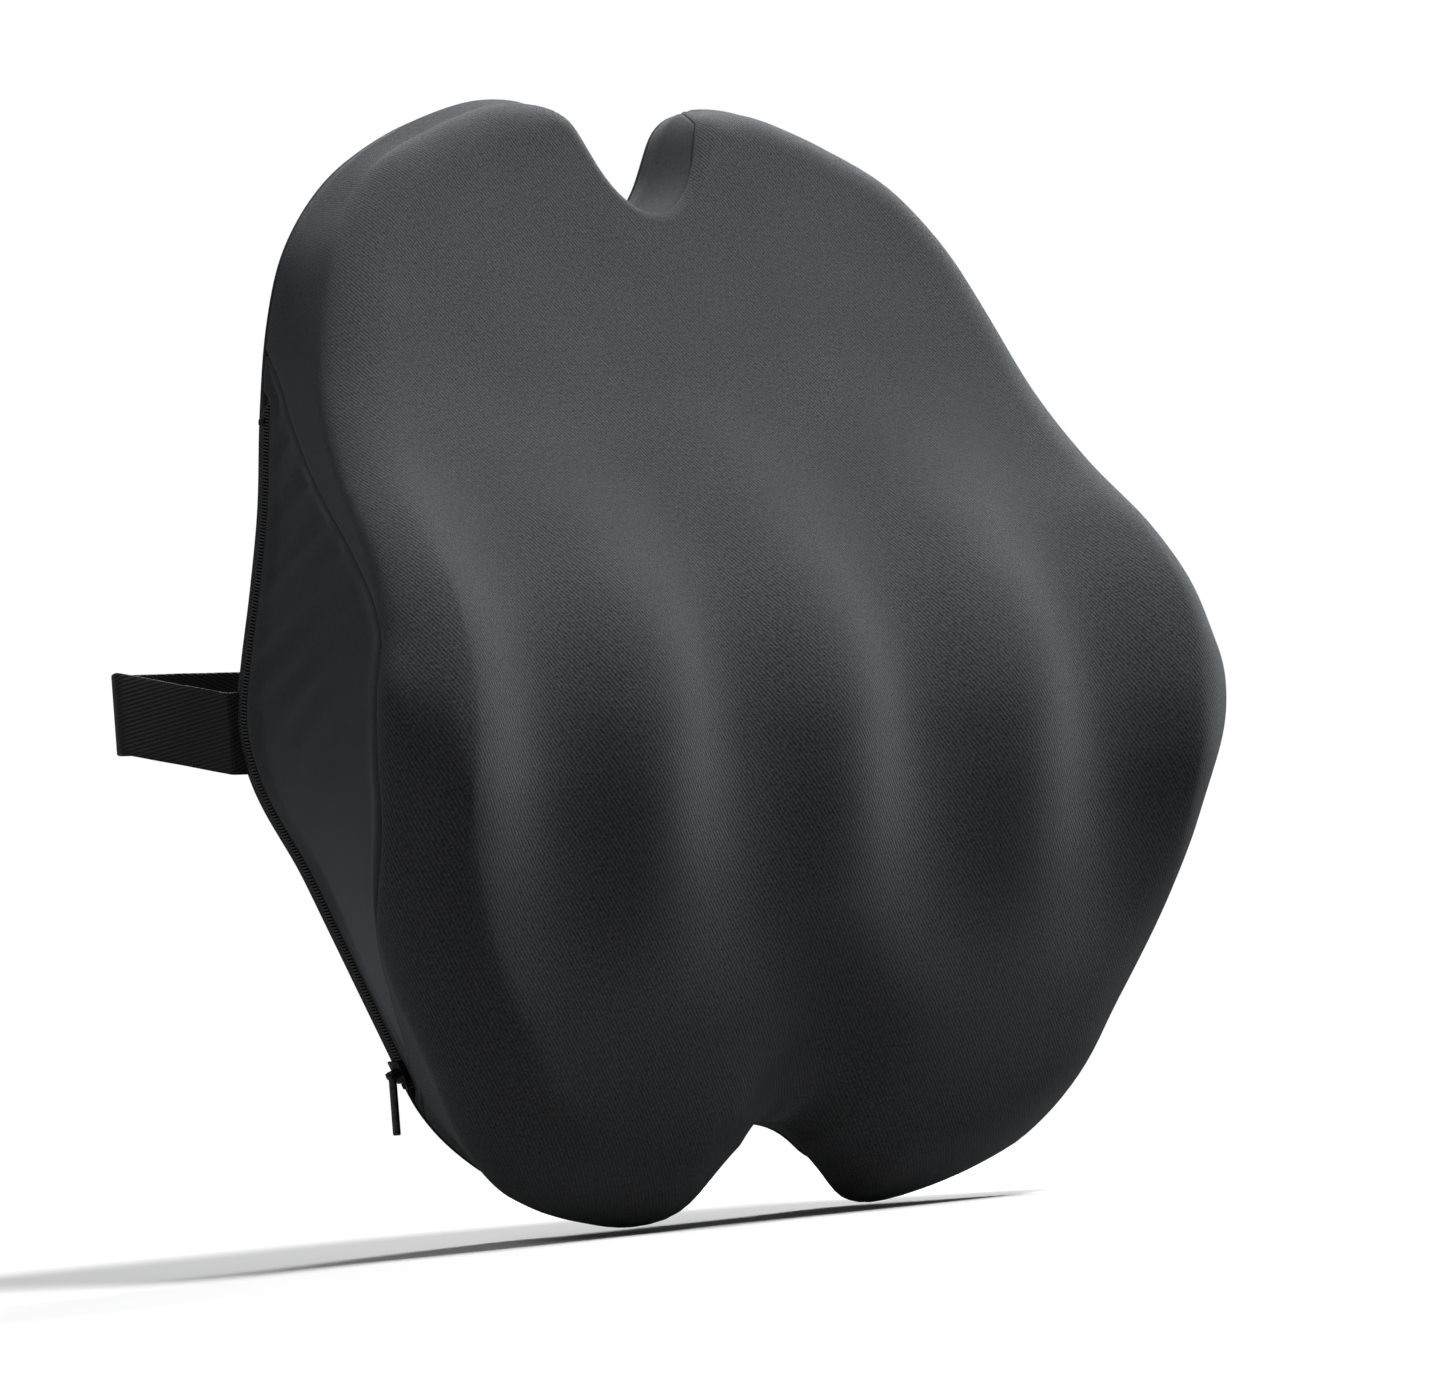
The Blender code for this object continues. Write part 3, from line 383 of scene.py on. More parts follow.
def mesh_piece(name, points, faces, look, pattern=None, attribute="knit"):
    """A piece from points in millimetres, with the fabric's pattern coordinates on its points."""
    mesh = bpy.data.meshes.new(name)
    mesh.from_pydata((np.asarray(points, float) * MM).tolist(), [], faces)
    mesh.update()
    mesh.shade_smooth()
    if pattern is not None:
        layer = mesh.attributes.new(attribute, "FLOAT_VECTOR", "POINT")
        layer.data.foreach_set("vector", np.asarray(pattern, np.float32).ravel())
    obj = bpy.data.objects.new(name, mesh)
    bpy.context.scene.collection.objects.link(obj)
    obj.data.materials.append(look)
    return obj


def grid_faces(rows, width, closed, first=0):
    last = width if closed else width - 1
    return [
        (first + r * width + i, first + (r + 1) * width + i,
         first + (r + 1) * width + (i + 1) % width, first + r * width + (i + 1) % width)
        for r in range(rows - 1) for i in range(last)
    ]


def smooth_value(at, places, values):
    """A smooth curve through the stations, read at one or more places."""
    places, values = np.asarray(places, float), np.asarray(values, float)
    slopes = np.gradient(values, places)
    at = np.clip(at, places[0], places[-1])
    k = np.clip(np.searchsorted(places, at, side="right") - 1, 0, len(places) - 2)
    span = places[k + 1] - places[k]
    t = (at - places[k]) / span
    start = (1 + 2 * t) * (1 - t) ** 2 * values[k] + t * (1 - t) ** 2 * span * slopes[k]
    return start + t * t * (3 - 2 * t) * values[k + 1] - t * t * (1 - t) * span * slopes[k + 1]


def smoothstep(value, start, end):
    t = np.clip((value - start) / (end - start), 0, 1)
    return t * t * (3 - 2 * t)


# ---------------------------------------------------------------- the cushion's shape


def half_outline(step):
    """Points down the +X half of the outline, and the index of each outline point among them."""
    ctrl = np.array(OUTLINE, float)
    tangents = np.zeros_like(ctrl)
    reach = np.linalg.norm(np.diff(ctrl, axis=0), axis=1)
    tangents[1:-1] = (ctrl[2:] - ctrl[:-2]) / (reach[1:] + reach[:-1])[:, None]
    tangents[0], tangents[-1] = (1, 0), (-1, 0)
    first, last = ZIP_RUN
    tangents[first] = tangents[last] = (ctrl[last] - ctrl[first]) / reach[first]
    points, marks = [], []
    for i, length in enumerate(reach):
        count = max(1, round(length / step))
        marks.append(len(points))
        for t in np.arange(count) / count:
            a = (1 + 2 * t) * (1 - t) ** 2 * ctrl[i] + t * (1 - t) ** 2 * length * tangents[i]
            points.append(a + t * t * (3 - 2 * t) * ctrl[i + 1] - t * t * (1 - t) * length * tangents[i + 1])
    return np.array(points + [ctrl[-1]]), marks


def evened(ring, reach):
    """A closed ring of points with its small corners evened out."""
    for _ in range(reach):
        ring = 0.5 * ring + 0.25 * (np.roll(ring, 1, axis=0) + np.roll(ring, -1, axis=0))
    return ring


def arc_length(path):
    """Distance along a path to each of its points."""
    return np.concatenate([[0], np.cumsum(np.linalg.norm(np.diff(path, axis=0), axis=1))])


def outward(ring):
    """Unit normals of a closed outline that runs clockwise seen from the front."""
    along = np.roll(ring, -1, axis=0) - np.roll(ring, 1, axis=0)
    along /= np.linalg.norm(along, axis=1)[:, None]
    return np.stack([-along[:, 1], along[:, 0]], axis=1)


HALF, MARKS = half_outline(OUTLINE_STEP)
RING = evened(np.vstack([HALF, (HALF[1:-1] * (-1, 1))[::-1]]), OUTLINE_SOFTNESS)
COUNT = len(RING)
_, MID_DEPTH, RIM_DEPTH, FLARE, EDGE_RADII = np.array(STATIONS, float).T
LEVELS = [row[0] for row in STATIONS]
NORMALS = outward(RING)
IN_NOTCH = np.exp(-((RING[:, 0] / NOTCH_HALF) ** 4)) * (RING[:, 1] > 0)
FLARED = RING - NORMALS * (NOTCH_OPENING * IN_NOTCH)[:, None]
FLARED[:, 0] += (np.sign(RING[:, 0]) * smooth_value(RING[:, 1], LEVELS, FLARE)
                 * np.clip((np.abs(RING[:, 0]) - FLARE_START) / FLARE_REACH, 0, 1))
FLARED[:, 0] -= (RING[:, 1] < 0) * LOBE_LEAN * RING[:, 0] * np.exp(-((RING[:, 0] / LEAN_REACH) ** 4))
FLARED[:, 1] -= (LOBE_DROP * smoothstep(RING[:, 1], *DROP_LEVELS)
                 * smoothstep(np.abs(RING[:, 0]), *DROP_HALVES))
FLARED[:, 1] -= CROWN_FALL * smoothstep(RING[:, 1], *CROWN_LEVELS) * (1 - IN_NOTCH)
FLARED_NORMALS = evened(outward(FLARED), NORMAL_SOFTNESS)
FLARED_NORMALS /= np.linalg.norm(FLARED_NORMALS, axis=1)[:, None]
WALL_NORMALS = np.stack([NORMALS[:, 0], np.zeros(COUNT), NORMALS[:, 1]], axis=1)
SIDE = FLARED[MARKS[LOBE_TOP]:MARKS[LOBE_BOTTOM] + 1][::-1]
ARC = arc_length(RING)
ON_LEFT = RING[:, 0] < -60


def front_depth(x, z):
    """Depth of the front face at a place, without the rounding along its edge."""
    width = np.interp(z, SIDE[:, 1], SIDE[:, 0])
    rise = np.minimum(np.abs(x) / width, 1) ** RIM_HUG
    middle, rim = smooth_value(z, LEVELS, MID_DEPTH), smooth_value(z, LEVELS, RIM_DEPTH)
    away = z - RIB_CENTRE
    share = np.clip(np.abs(away) / np.where(away > 0, RIB_REACH_UP, RIB_REACH_DOWN), 0, 1)
    swell = 0.5 + 0.5 * np.cos(np.pi * share)
    rib = np.cos(2 * np.pi * x / RIB_PITCH) * np.clip((RIB_FADE - np.abs(x)) / 20, 0, 1)
    valley = VALLEY_DEPTH * smoothstep(z, VALLEY_TOP, VALLEY_FOOT) * np.exp(-((x / VALLEY_HALF) ** 2))
    return middle + (rim - middle) * rise + RIB_HEIGHT * swell * rib - valley


RIM = front_depth(FLARED[:, 0], FLARED[:, 1])
RADIUS = smooth_value(RING[:, 1], LEVELS, EDGE_RADII)
RADIUS = np.minimum(RADIUS, RIM / 2) * (1 - IN_NOTCH) + NOTCH_EDGE_RADIUS * IN_NOTCH
WALL = RIM - RADIUS
RIM_LINE = FLARED - FLARED_NORMALS * RADIUS[:, None]
CALM_LINE = evened(RIM_LINE, FACE_SOFTNESS)  # towards its middle the front face has rounder rings


def wall_row(depth, level=0.0):
    """A ring of points on the side wall at a depth, or a little outside it."""
    depth = np.broadcast_to(depth, COUNT).astype(float)
    share = np.clip((depth - EDGE_STRIP) / (WALL - EDGE_STRIP), 0, 1)[:, None]
    place = RING + (FLARED - RING) * share
    return np.stack([place[:, 0], -depth, place[:, 1]], axis=1) + WALL_NORMALS * np.asarray(level)[..., None]


def edge_row(turn):
    """A ring on the rounded edge. turn is 0 at the side wall, 1 at the front face, and may differ by column."""
    angle = np.broadcast_to(turn, COUNT) * math.pi / 2
    inward = RADIUS * (1 - np.cos(angle))
    place = FLARED - FLARED_NORMALS * inward[:, None]
    depth = front_depth(place[:, 0], place[:, 1]) - RADIUS * (1 - np.sin(angle))
    return np.stack([place[:, 0], -depth, place[:, 1]], axis=1)


def face_place(share):
    """Places (x, z) of a ring on the front face, from 1 at the rounded edge to 0 at its middle."""
    return (RIM_LINE + (CALM_LINE - RIM_LINE) * smoothstep(share, 1.0, 0.8)) * share


def face_row(share):
    place = face_place(share)
    return np.stack([place[:, 0], -front_depth(place[:, 0], place[:, 1]), place[:, 1]], axis=1)


def profile_row(run):
    """A ring at a distance along each column's profile, measured from the back edge and on round the rim."""
    turned = np.clip((run - WALL) / (RADIUS * math.pi / 2), 0, 1)
    on_wall = wall_row(np.minimum(run, WALL))
    return np.where((run > WALL)[:, None], edge_row(turned), on_wall)


def surface_normals(rows):
    """Normals of a grid of points that is closed along its rows."""
    along = np.roll(rows, -1, axis=1) - np.roll(rows, 1, axis=1)
    across = np.gradient(rows, axis=0)
    normal = np.cross(across, along)
    return normal / np.maximum(np.linalg.norm(normal, axis=2), 1e-9)[:, :, None]


def lens_seam(side, border):
    """Depth of the gusset's front seam for the columns of one side, and where the gusset is."""
    heights = [SEAM_TIPS[0]] + [h for h, _ in SEAM] + [SEAM_TIPS[1]]
    depths = [BACK_SEAM] + [d for _, d in SEAM] + [BACK_SEAM]
    z = RING[:, 1]
    beside = (RING[:, 0] * side > 90) & (z < heights[0]) & (z > heights[-1])
    depth = smooth_value(z, heights[::-1], depths[::-1])
    return np.where(beside, np.maximum(depth, border), border), beside


# ---------------------------------------------------------------- panels of the cover

NEAR_SEAM = (0.0, 0.25, 0.6, 1.0, 1.5, 2.1, 2.9, 3.8, 5.0)
ZIPPED = (smoothstep(RING[:, 1], ZIP_TOP + ZIP_TAIL + 4, ZIP_TOP + 3)
          * smoothstep(RING[:, 1], ZIP_FOOT - 4, ZIP_FOOT) * ON_LEFT)
BACK_BORDER = BACK_SEAM + (ZIP_BACK_SEAM - BACK_SEAM) * ZIPPED
SIDE_BORDER = BACK_SEAM + (ZIP_SEAM - BACK_SEAM) * ZIPPED
RIGHT_SEAM, RIGHT_LENS = lens_seam(1, SIDE_BORDER)
LEFT_SEAM, LEFT_LENS = lens_seam(-1, SIDE_BORDER)
NOTCH_SHARE = smoothstep(np.abs(RING[:, 0]), NOTCH_STRIP_END, NOTCH_STRIP_FULL) * (RING[:, 1] > 0)
NOTCH_LIMIT = WALL + 0.5


def front_start():
    """Profile distance where the front panel begins, for each column."""
    start = np.where(LEFT_LENS, LEFT_SEAM, np.where(RIGHT_LENS, RIGHT_SEAM, SIDE_BORDER))
    return start + (NOTCH_LIMIT - start) * NOTCH_SHARE


START = front_start()


def seam_dip(distance):
    """How far cloth dips inward near a seam."""
    return SEAM_DIP * np.exp(-distance / SEAM_WIDTH)


def front_panel(look):
    end = WALL + RADIUS * math.pi / 2
    runs = [START + d for d in NEAR_SEAM]
    runs += [START + NEAR_SEAM[-1] + (end - START - NEAR_SEAM[-1]) * t for t in np.linspace(0, 1, 40)[1:]]
    shares = np.linspace(1, 0, 66)[1:-1]
    rows = np.array([profile_row(run) for run in runs] + [face_row(s) for s in shares])
    normals = surface_normals(rows)
    dips = [seam_dip(np.full(COUNT, d)) for d in NEAR_SEAM]
    dips += [seam_dip(run - START) for run in runs[len(NEAR_SEAM):]] + [np.zeros(COUNT)] * len(shares)
    rows = rows - normals * np.array(dips)[:, :, None]
    tuck = rows[:1] - normals[:1] * SEAM_TUCK
    rows = np.concatenate([tuck, rows])
    # Pattern: flat on the face, and continued outward by arc length round the rim and down the wall.
    pattern = [RIM_LINE + FLARED_NORMALS * (end - run)[:, None] for run in [START - SEAM_TUCK] + runs]
    pattern += [face_place(s) for s in shares]
    pattern = np.concatenate([np.array(pattern), np.zeros((len(pattern), COUNT, 1))], axis=2)
    faces = grid_faces(len(rows), COUNT, True)
    centre = len(rows) * COUNT
    last = centre - COUNT
    faces += [(last + i, centre, last + (i + 1) % COUNT) for i in range(COUNT)]
    points = np.concatenate([rows.reshape(-1, 3), [[0, -front_depth(np.array(0.0), np.array(0.0)), 0]]])
    pattern = np.concatenate([pattern.reshape(-1, 3), [[0, 0, 0]]])
    piece = mesh_piece("front_panel", points, faces, look, pattern)
    return dress(piece, "cushion", "air_knit", "cover_front_panel", thickness=1.1, padded=0.8)


def dress(piece, body, slot, *nodes, thickness=0.0, padded=None):
    """Gives a piece its cloth thickness and its body, and hides the CAD nodes that it stands for. Its finish,
    slot, is not used.
    """
    if thickness:
        solid = piece.modifiers.new("cloth", "SOLIDIFY")
        solid.thickness = thickness * MM
        solid.offset = -1
        apply_modifiers(piece)
    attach(piece, body)
    if nodes:
        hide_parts(*nodes)
    return piece


def apply_modifiers(piece):
    graph = bpy.context.evaluated_depsgraph_get()
    mesh = bpy.data.meshes.new_from_object(piece.evaluated_get(graph), preserve_all_data_layers=True,
                                           depsgraph=graph)
    piece.modifiers.clear()
    piece.data = mesh


def column_order(chosen):
    order = np.flatnonzero(chosen)
    gap = np.flatnonzero(np.diff(order) > 1)
    return np.roll(order, -(gap[0] + 1)) if len(gap) else order


def wall_panel(name, chosen, low, high, look, folds=None, rows=44):
    """A panel on the side wall between two distances along the profile, dipping at its seams."""
    order = column_order(chosen)
    height = (high - low)[order]
    shares = 0.5 - 0.5 * np.cos(np.linspace(0, math.pi, rows))
    grid = np.array([profile_row(low + (high - low) * s)[order] for s in shares])
    from_edge = np.array([np.minimum(s, 1 - s) * height for s in shares])
    normal = WALL_NORMALS[order]
    level = -seam_dip(np.maximum(from_edge, 0))
    along = ARC[order] - ARC[order][0]
    along = np.where(along < 0, along + ARC[-1], along)
    across = np.array([low[order] + height * s for s in shares])
    if folds is not None:
        level = level + folds(np.broadcast_to(RING[order, 1], across.shape), across, from_edge)
    grid = grid + normal[None] * level[:, :, None]
    tuck = normal[None] * SEAM_TUCK
    grid = np.concatenate([grid[:1] - tuck, grid, grid[-1:] - tuck])
    across = np.concatenate([across[:1] - SEAM_TUCK, across, across[-1:] + SEAM_TUCK])
    pattern = np.stack([np.broadcast_to(along, across.shape), across, np.zeros(across.shape)], axis=2)
    faces = grid_faces(len(grid), len(order), False)
    return mesh_piece(name, grid.reshape(-1, 3), faces, look, pattern.reshape(-1, 3))


def tension_folds(z, depth, from_edge):
    """Soft pulls that run from low at the back to high at the front, flat near the seams."""
    calm = smoothstep(from_edge, 0.5, 12.0)
    phase = z - 0.25 * depth
    upper = smoothstep(z, -70, 0) * (1 - 0.5 * smoothstep(depth, 60, 110))
    waves = (0.85 * np.sin(phase / 3.4 + 0.8 * np.sin(depth / 17) + 0.9 * np.sin(z / 23))
             * upper * (0.65 + 0.35 * np.sin(z / 13 + depth / 21))
             + 0.42 * np.sin(phase / 2.0 + 1.3 + 0.7 * np.sin(depth / 11)) * smoothstep(z, -10, 60)
             + 0.55 * np.sin(phase / 11.0 + 0.6))
    return (waves - 1.3) * calm


def gussets(look):
    for name, seam, lens in (("left", LEFT_SEAM, LEFT_LENS), ("right", RIGHT_SEAM, RIGHT_LENS)):
        panel = wall_panel(f"gusset_{name}", lens, SIDE_BORDER, seam, look, tension_folds)
        dress(panel, "cushion", "jersey", f"cover_side_gusset_{name}", thickness=0.9, padded=0.8)
    low = np.full(COUNT, BACK_SEAM)
    high = low + (NOTCH_LIMIT - low) * NOTCH_SHARE
    chosen = (np.abs(RING[:, 0]) < NOTCH_STRIP_END) & (RING[:, 1] > 0)
    panel = wall_panel("notch_gusset_top", chosen, low, high, look, rows=24)
    dress(panel, "cushion", "jersey", "cover_top_notch_gusset", thickness=0.9, padded=0.8)


def back_panel(look):
    """Flat against the backrest, with a soft edge that turns forward to the seam."""
    rows = [wall_row(BACK_BORDER + 0.2, -3.0), wall_row(BACK_BORDER, -0.9), wall_row(BACK_BORDER - 0.3, -0.3)]
    for a in np.radians(np.linspace(0, 90, 7)):
        ring = wall_row(0.0, -BACK_TURN * (1 - math.cos(a)))
        ring[:, 1] = -BACK_TURN * (1 - math.sin(a))
        rows.append(ring)
    inner = RING - NORMALS * BACK_TURN
    for share in np.linspace(1, 0, 70)[1:-1]:
        rows.append(np.stack([inner[:, 0] * share, np.zeros(COUNT), inner[:, 1] * share], axis=1))
    rows = np.array(rows)
    centre = len(rows) * COUNT
    faces = grid_faces(len(rows), COUNT, True)
    faces += [(centre - COUNT + i, centre, centre - COUNT + (i + 1) % COUNT) for i in range(COUNT)]
    points = np.concatenate([rows.reshape(-1, 3), [[0, 0, 0]]])
    pattern = np.stack([points[:, 0], points[:, 2], points[:, 1]], axis=1)
    piece = mesh_piece("back_panel", points, faces, look, pattern)
    flip_outward(piece)
    return dress(piece, "cushion", "jersey", "cover_back_panel", thickness=1.0)


def flip_outward(piece):
    """Turns a sheet's faces so that they look away from the cushion's middle."""
    mesh = piece.data
    centre = Vector((0, -0.05, 0))
    total = sum(((f.center - centre).normalized().dot(f.normal)) * f.area for f in mesh.polygons)
    if total < 0:
        mesh.flip_normals()


def foam(look):
    """The moulded block inside the cover."""
    rows = [wall_row(q) for q in np.linspace(9, 15, 2)]
    rows += [wall_row(0.3 * WALL + 10), wall_row(0.7 * WALL + 4), wall_row(WALL)]
    rows += [edge_row(t) for t in (0.25, 0.5, 0.75, 1.0)]
    rows += [face_row(s) for s in np.linspace(1, 0, 40)[1:-1]]
    rows = np.array(rows)[:, ::4]
    rows = rows - surface_normals(rows) * FOAM_INSET
    back = wall_row(2.0, -9.0)[::4]
    rows = np.concatenate([back[None] * (0.02, 1, 0.02), back[None], rows])
    width = rows.shape[1]
    points = rows.reshape(-1, 3)
    faces = grid_faces(len(rows), width, True)
    faces += [tuple(range(width)), tuple(reversed(range(len(points) - width, len(points))))]
    piece = mesh_piece("foam_core", points, faces, look)
    return dress(piece, "cushion", "memory_foam", "foam_core", padded=1.0)


# ---------------------------------------------------------------- zipper


def zip_path(step):
    """Places up the zipper at even steps: point (x, z), unit tangent and unit outward normal."""
    low, high = (np.array(OUTLINE[k], float) * (-1, 1) for k in ZIP_RUN[::-1])
    start = low + (high - low) / np.linalg.norm(high - low) * ZIP_END_GAP
    beside = ON_LEFT & (RING[:, 1] > start[1] + 1) & (RING[:, 1] < ZIP_TOP + ZIP_TAIL)
    line = np.vstack([start, RING[beside]])
    arc = arc_length(line)
    at = np.arange(0, arc[-1], step)
    place = np.stack([np.interp(at, arc, line[:, k]) for k in (0, 1)], axis=1)
    tangent = np.gradient(place, axis=0)
    for _ in range(4):
        tangent[1:-1] = (tangent[:-2] + tangent[1:-1] + tangent[2:]) / 3
    tangent /= np.linalg.norm(tangent, axis=1)[:, None]
    normal = np.stack([-tangent[:, 1], tangent[:, 0]], axis=1)
    sink = ZIP_TAIL_SINK * smoothstep(place[:, 1], ZIP_TOP - 1, ZIP_TOP + ZIP_TAIL - 2)
    return place - normal * sink[:, None], tangent, normal


def tape(name, depths, look):
    """A strip of woven tape just below the cloth, with its edges turned under."""
    place, _, normal = zip_path(TAPE_STEP)
    profile = [(depths[0], -1.3), (depths[0], -0.5), (depths[0] + 0.3, -0.3), (depths[1] - 0.3, -0.3),
               (depths[1], -0.5), (depths[1], -1.3)]
    grid = []
    for q, u in profile:
        shifted = place + normal * u
        grid.append(np.stack([shifted[:, 0], np.full(len(place), -q), shifted[:, 1]], axis=1))
    along = np.arange(len(place)) * TAPE_STEP
    pattern = [np.stack([along, np.full(len(along), q), np.zeros(len(along))], axis=1) for q, _ in profile]
    faces = grid_faces(len(profile), len(place), False)
    return mesh_piece(name, np.concatenate(grid), faces, look, np.concatenate(pattern))


def coil_row(name, outer, shift, look):
    """One half of the coil: a loop of wire for every tooth, leaning up the zipper to the middle."""
    place, tangent, normal = zip_path(COIL_PITCH)
    toward = 1 if COIL_MIDDLE > outer else -1
    reach = abs(COIL_MIDDLE - outer)
    # (share of the way to the middle, level over the tape, share of the pitch up the zipper)
    arc = [(0.0, -0.25, 0.0), (0.05, 0.45, 0.05), (0.45, 0.85, 0.25), (0.95, 0.80, 0.55), (1.12, 0.30, 0.62),
           (0.95, -0.15, 0.60)]
    points, faces = [], []
    for (x, z), (tx, tz), (nx, nz) in zip(place, tangent, normal):
        path = []
        for across, level, up in arc:
            rise = (up + shift) * COIL_PITCH
            depth = outer + toward * reach * across
            path.append((x + nx * level + tx * rise, -depth, z + nz * level + tz * rise))
        add_tube(points, faces, np.array(path), COIL_WIRE, (tx, 0, tz))
    return mesh_piece(name, points, faces, look)


def add_tube(points, faces, path, radius, side_axis, sides=6):
    """Adds a closed tube along a short path whose turns all lie about one axis."""
    along = np.gradient(path, axis=0)
    first = len(points)
    for place, direction in zip(path, along):
        over = np.cross(direction, side_axis)
        over /= np.linalg.norm(over)
        side = np.cross(over, direction)
        side /= np.linalg.norm(side)
        for a in np.linspace(0, 2 * math.pi, sides, endpoint=False):
            points.append(place + radius * (math.cos(a) * side + math.sin(a) * over))
    faces += grid_faces(len(path), sides, True, first)
    faces.append(tuple(reversed(range(first, first + sides))))
    faces.append(tuple(range(len(points) - sides, len(points))))


def zipper():
    # The tape's two colours are its painted shade and its painted highlight.
    woven = cloth_tape_material("zipper_tape", (0.014, 0.014, 0.015), (0.044, 0.045, 0.048))
    nylon = plastic_material("zipper_coil", (0.046, 0.047, 0.050), 0.45, 0.01)
    for name, depths in (("back", TAPE_BACK), ("front", TAPE_FRONT)):
        dress(tape(f"zip_tape_{name}", depths, woven), "cushion", "zipper_tape", f"zipper_tape_{name}",
              thickness=0.5)
    for name, outer, shift in (("back", COIL_BACK, 0.0), ("front", COIL_FRONT, 0.5)):
        row = coil_row(f"zip_coil_{name}", outer, shift, nylon)
        dress(row, "cushion", "zipper_coil", f"zipper_coil_{name}")


# ---------------------------------------------------------------- strap


def filleted(corners, radii, steps=8):
    """A polyline through corners (x, y, z) with each inner corner rounded in plan."""
    corners = [Vector(c) for c in corners]
    path = [corners[0]]
    for before, corner, after, radius in zip(corners, corners[1:], corners[2:], radii):
        back, ahead = (before - corner).normalized(), (after - corner).normalized()
        cut = radius * math.tan((math.pi - back.angle(ahead)) / 2)
        start, end = corner + back * cut, corner + ahead * cut
        for t in np.linspace(0, 1, steps + 1):
            path.append(start.lerp(corner, t).lerp(corner.lerp(end, t), t))
    return path + [corners[-1]]


def strap_route(side, bar_x):
    """From the sewn tail in the cover, round the backrest's edge, to the buckle bar and back on itself."""
    toward = -side
    loop, gap = BUCKLE_MID - REAR_RUN, 2.0
    corners = [
        (side * TAIL_END, -TAIL_DEPTH, STRAP_HEIGHT), (side * STRAP_EXIT, -TAIL_DEPTH, STRAP_HEIGHT),
        (side * CHAIR_EDGE, CHAIR_FRONT, LOOP_HEIGHT), (side * (CHAIR_EDGE - 3), REAR_RUN, LOOP_HEIGHT),
        (bar_x, REAR_RUN, LOOP_HEIGHT),
    ]
    path = filleted(corners, (3, 5, 6))
    middle = Vector((bar_x, BUCKLE_MID, LOOP_HEIGHT))
    for angle in np.linspace(-90, 90, 13)[1:]:
        a = math.radians(angle)
        path.append(middle + Vector((toward * loop * math.cos(a), loop * math.sin(a), 0)))
    path.append(Vector((bar_x - toward * 5, BUCKLE_MID + loop, LOOP_HEIGHT)))
    path.append(Vector((bar_x - toward * 12, REAR_RUN + gap, LOOP_HEIGHT)))
    path.append(Vector((bar_x - toward * 30, REAR_RUN + gap, LOOP_HEIGHT)))
    return path


def even_steps(path, step):
    path = np.array([tuple(p) for p in path])
    arc = arc_length(path)
    at = np.unique(np.concatenate([np.arange(0, arc[-1], step), arc]))
    return np.stack([np.interp(at, arc, path[:, k]) for k in range(3)], axis=1), at


def webbing(name, path, look):
    """Flat elastic webbing that stands on edge, with rounded selvedges and a slight ripple along them."""
    path, at = even_steps(path, 3.0)
    along = np.gradient(path, axis=0)
    along[:, 2] = 0
    along /= np.linalg.norm(along, axis=1)[:, None]
    out = np.stack([-along[:, 1], along[:, 0], np.zeros(len(path))], axis=1)
    half, thick = STRAP_WIDTH / 2, STRAP_THICKNESS / 2
    across = [(v, thick) for v in np.linspace(-half + 0.8, half - 0.8, 15)]
    across += [(half - 0.25, thick * 0.75), (half, 0.0), (half - 0.25, -thick * 0.75)]
    across += [(v, -thick) for v in np.linspace(half - 0.8, -half + 0.8, 15)]
    across += [(-half + 0.25, -thick * 0.75), (-half, 0.0), (-half + 0.25, thick * 0.75)]
    ripple = 0.25 * np.sin(at / 7.0) + 0.15 * np.sin(at / 2.9 + 1.0)
    rows, pattern = [], []
    for v, level in across:
        height = v * (1 - 0.012 * (abs(v) / half) ** 6 * (1 + ripple))
        rise = np.stack([np.zeros(len(at)), np.zeros(len(at)), height], axis=1)
        rows.append(path + out * level + rise)
        pattern.append(np.stack([at, np.full(len(at), v), np.full(len(at), level)], axis=1))
    faces = grid_faces(len(rows), len(path), False)
    wrap = [((len(rows) - 1) * len(path) + i, i, i + 1, (len(rows) - 1) * len(path) + i + 1)
            for i in range(len(path) - 1)]
    caps = [tuple(r * len(path) for r in range(len(rows))),
            tuple(r * len(path) + len(path) - 1 for r in reversed(range(len(rows))))]
    faces += wrap + caps
    piece = mesh_piece(name, np.concatenate(rows), faces, look, np.concatenate(pattern), "weave")
    recalc(piece)
    return piece


def recalc(piece):
    made = bmesh.new()
    made.from_mesh(piece.data)
    bmesh.ops.recalc_face_normals(made, faces=made.faces)
    made.to_mesh(piece.data)
    made.free()


def straps(look):
    bar_middle = 2.0
    left = webbing("strap_left_webbing", strap_route(-1, BUCKLE_AT + bar_middle), look)
    plug_end = BUCKLE_AT + PLUG_START + PLUG_LENGTH
    right = webbing("strap_right_webbing", strap_route(1, plug_end - bar_middle), look)
    dress(left, "cushion", "elastic_webbing", "strap_left")
    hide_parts("strap_right")
    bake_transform(right)


# ---------------------------------------------------------------- hard pieces


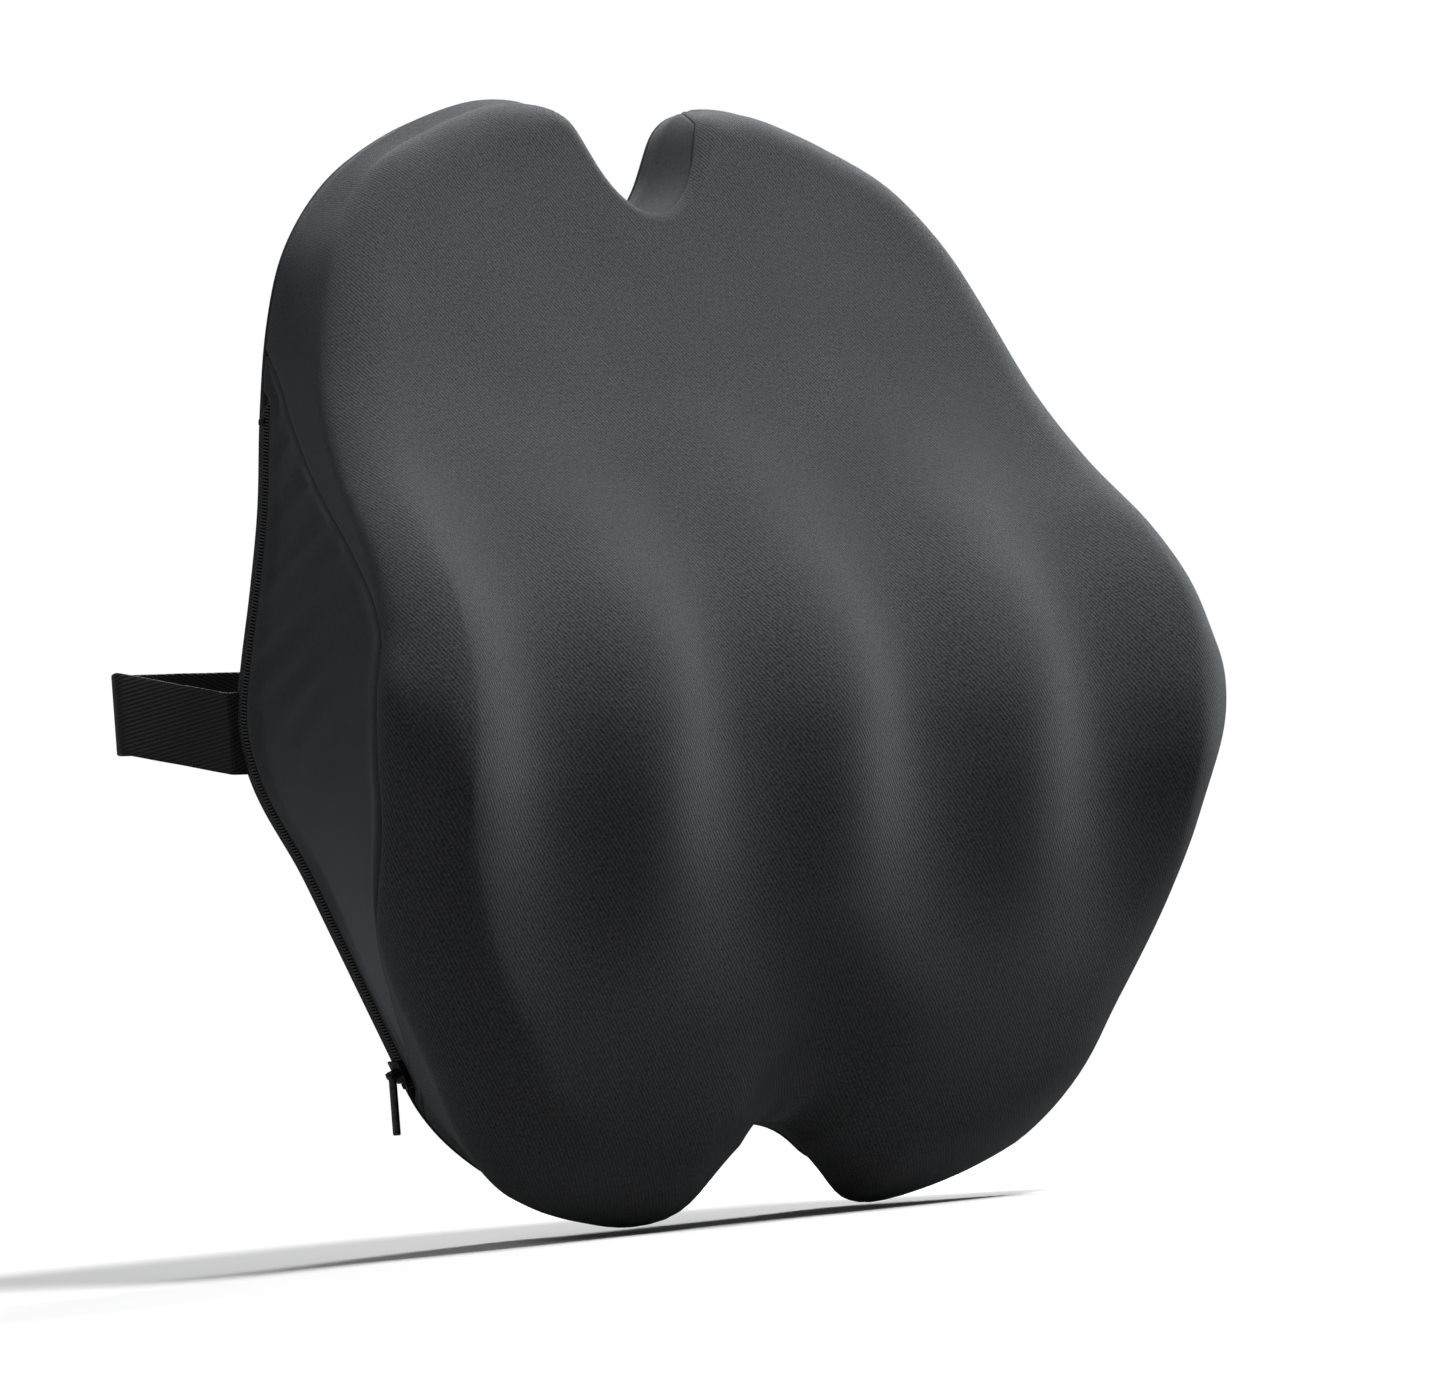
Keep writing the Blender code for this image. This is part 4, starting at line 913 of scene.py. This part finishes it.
def softened(name, node, look, slot, body, width=0.35):
    """A CAD piece with its edges rounded over, for the moulded and cast pieces."""
    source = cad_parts[node]
    mesh = source.data.copy()
    made = bmesh.new()
    made.from_mesh(mesh)
    bmesh.ops.remove_doubles(made, verts=made.verts, dist=0.00002)
    bmesh.ops.dissolve_limit(made, angle_limit=math.radians(1.0), verts=made.verts, edges=made.edges)
    made.to_mesh(mesh)
    made.free()
    mesh.materials.clear()
    mesh.materials.append(look)
    piece = bpy.data.objects.new(name, mesh)
    bpy.context.scene.collection.objects.link(piece)
    bevel = piece.modifiers.new("edges", "BEVEL")
    bevel.width = width * MM
    bevel.segments = 2
    bevel.limit_method = "ANGLE"
    bevel.angle_limit = math.radians(35)
    bevel.use_clamp_overlap = True
    apply_modifiers(piece)
    piece.data.shade_smooth()
    piece.data.set_sharp_from_angle(angle=math.radians(45))
    return dress(piece, body, slot, node)


def hardware(nylon, metal, jersey):
    for name, node, body in (("buckle_socket_shell", "buckle_socket", "cushion"),
                             ("buckle_plug_body", "buckle_plug", "plug"),
                             ("buckle_upper_arm", "buckle_prong_upper", "plug"),
                             ("buckle_lower_arm", "buckle_prong_lower", "plug"),
                             ("adjuster_glide", "strap_tri_glide", "adjuster")):
        softened(name, node, nylon, "moulded_nylon", body)
    for name, node, body in (("slider_body", "zipper_slider", "slider"),
                             ("pull_tab", "zipper_pull_tab", "pull"),
                             ("stop_back", "zipper_top_stop_back", "cushion"),
                             ("stop_front", "zipper_top_stop_front", "cushion"),
                             ("stop_far", "zipper_bottom_stop", "cushion")):
        softened(name, node, metal, "blackened_metal", body, width=0.12)
    for side in ("left", "right"):
        softened(f"anchor_patch_{side}", f"strap_anchor_{side}", jersey, "jersey", "cushion", width=0.15)


# ---------------------------------------------------------------- main

camera()
lights()
floor()

# Each knit's two colours: the painted shade of its hollows, then the painted highlight of its raised stitches.
AIR_KNIT = knit_material("air_knit", 1.5, 1.5, -0.35, (0.004, 0.0042, 0.005), (0.076, 0.078, 0.084), 0.55)
JERSEY = knit_material("jersey", 0.8, 0.7, 0.0, (0.012, 0.0125, 0.0135), (0.060, 0.061, 0.066), 0.14)
WEBBING = webbing_material()
NYLON = plastic_material("moulded_nylon", (0.014, 0.014, 0.015), 0.38, 0.02)
METAL = metal_material()
FOAM = foam_material()

front_panel(AIR_KNIT)
gussets(JERSEY)
back_panel(JERSEY)
foam(FOAM)

zipper()
straps(WEBBING)
hardware(NYLON, METAL, JERSEY)
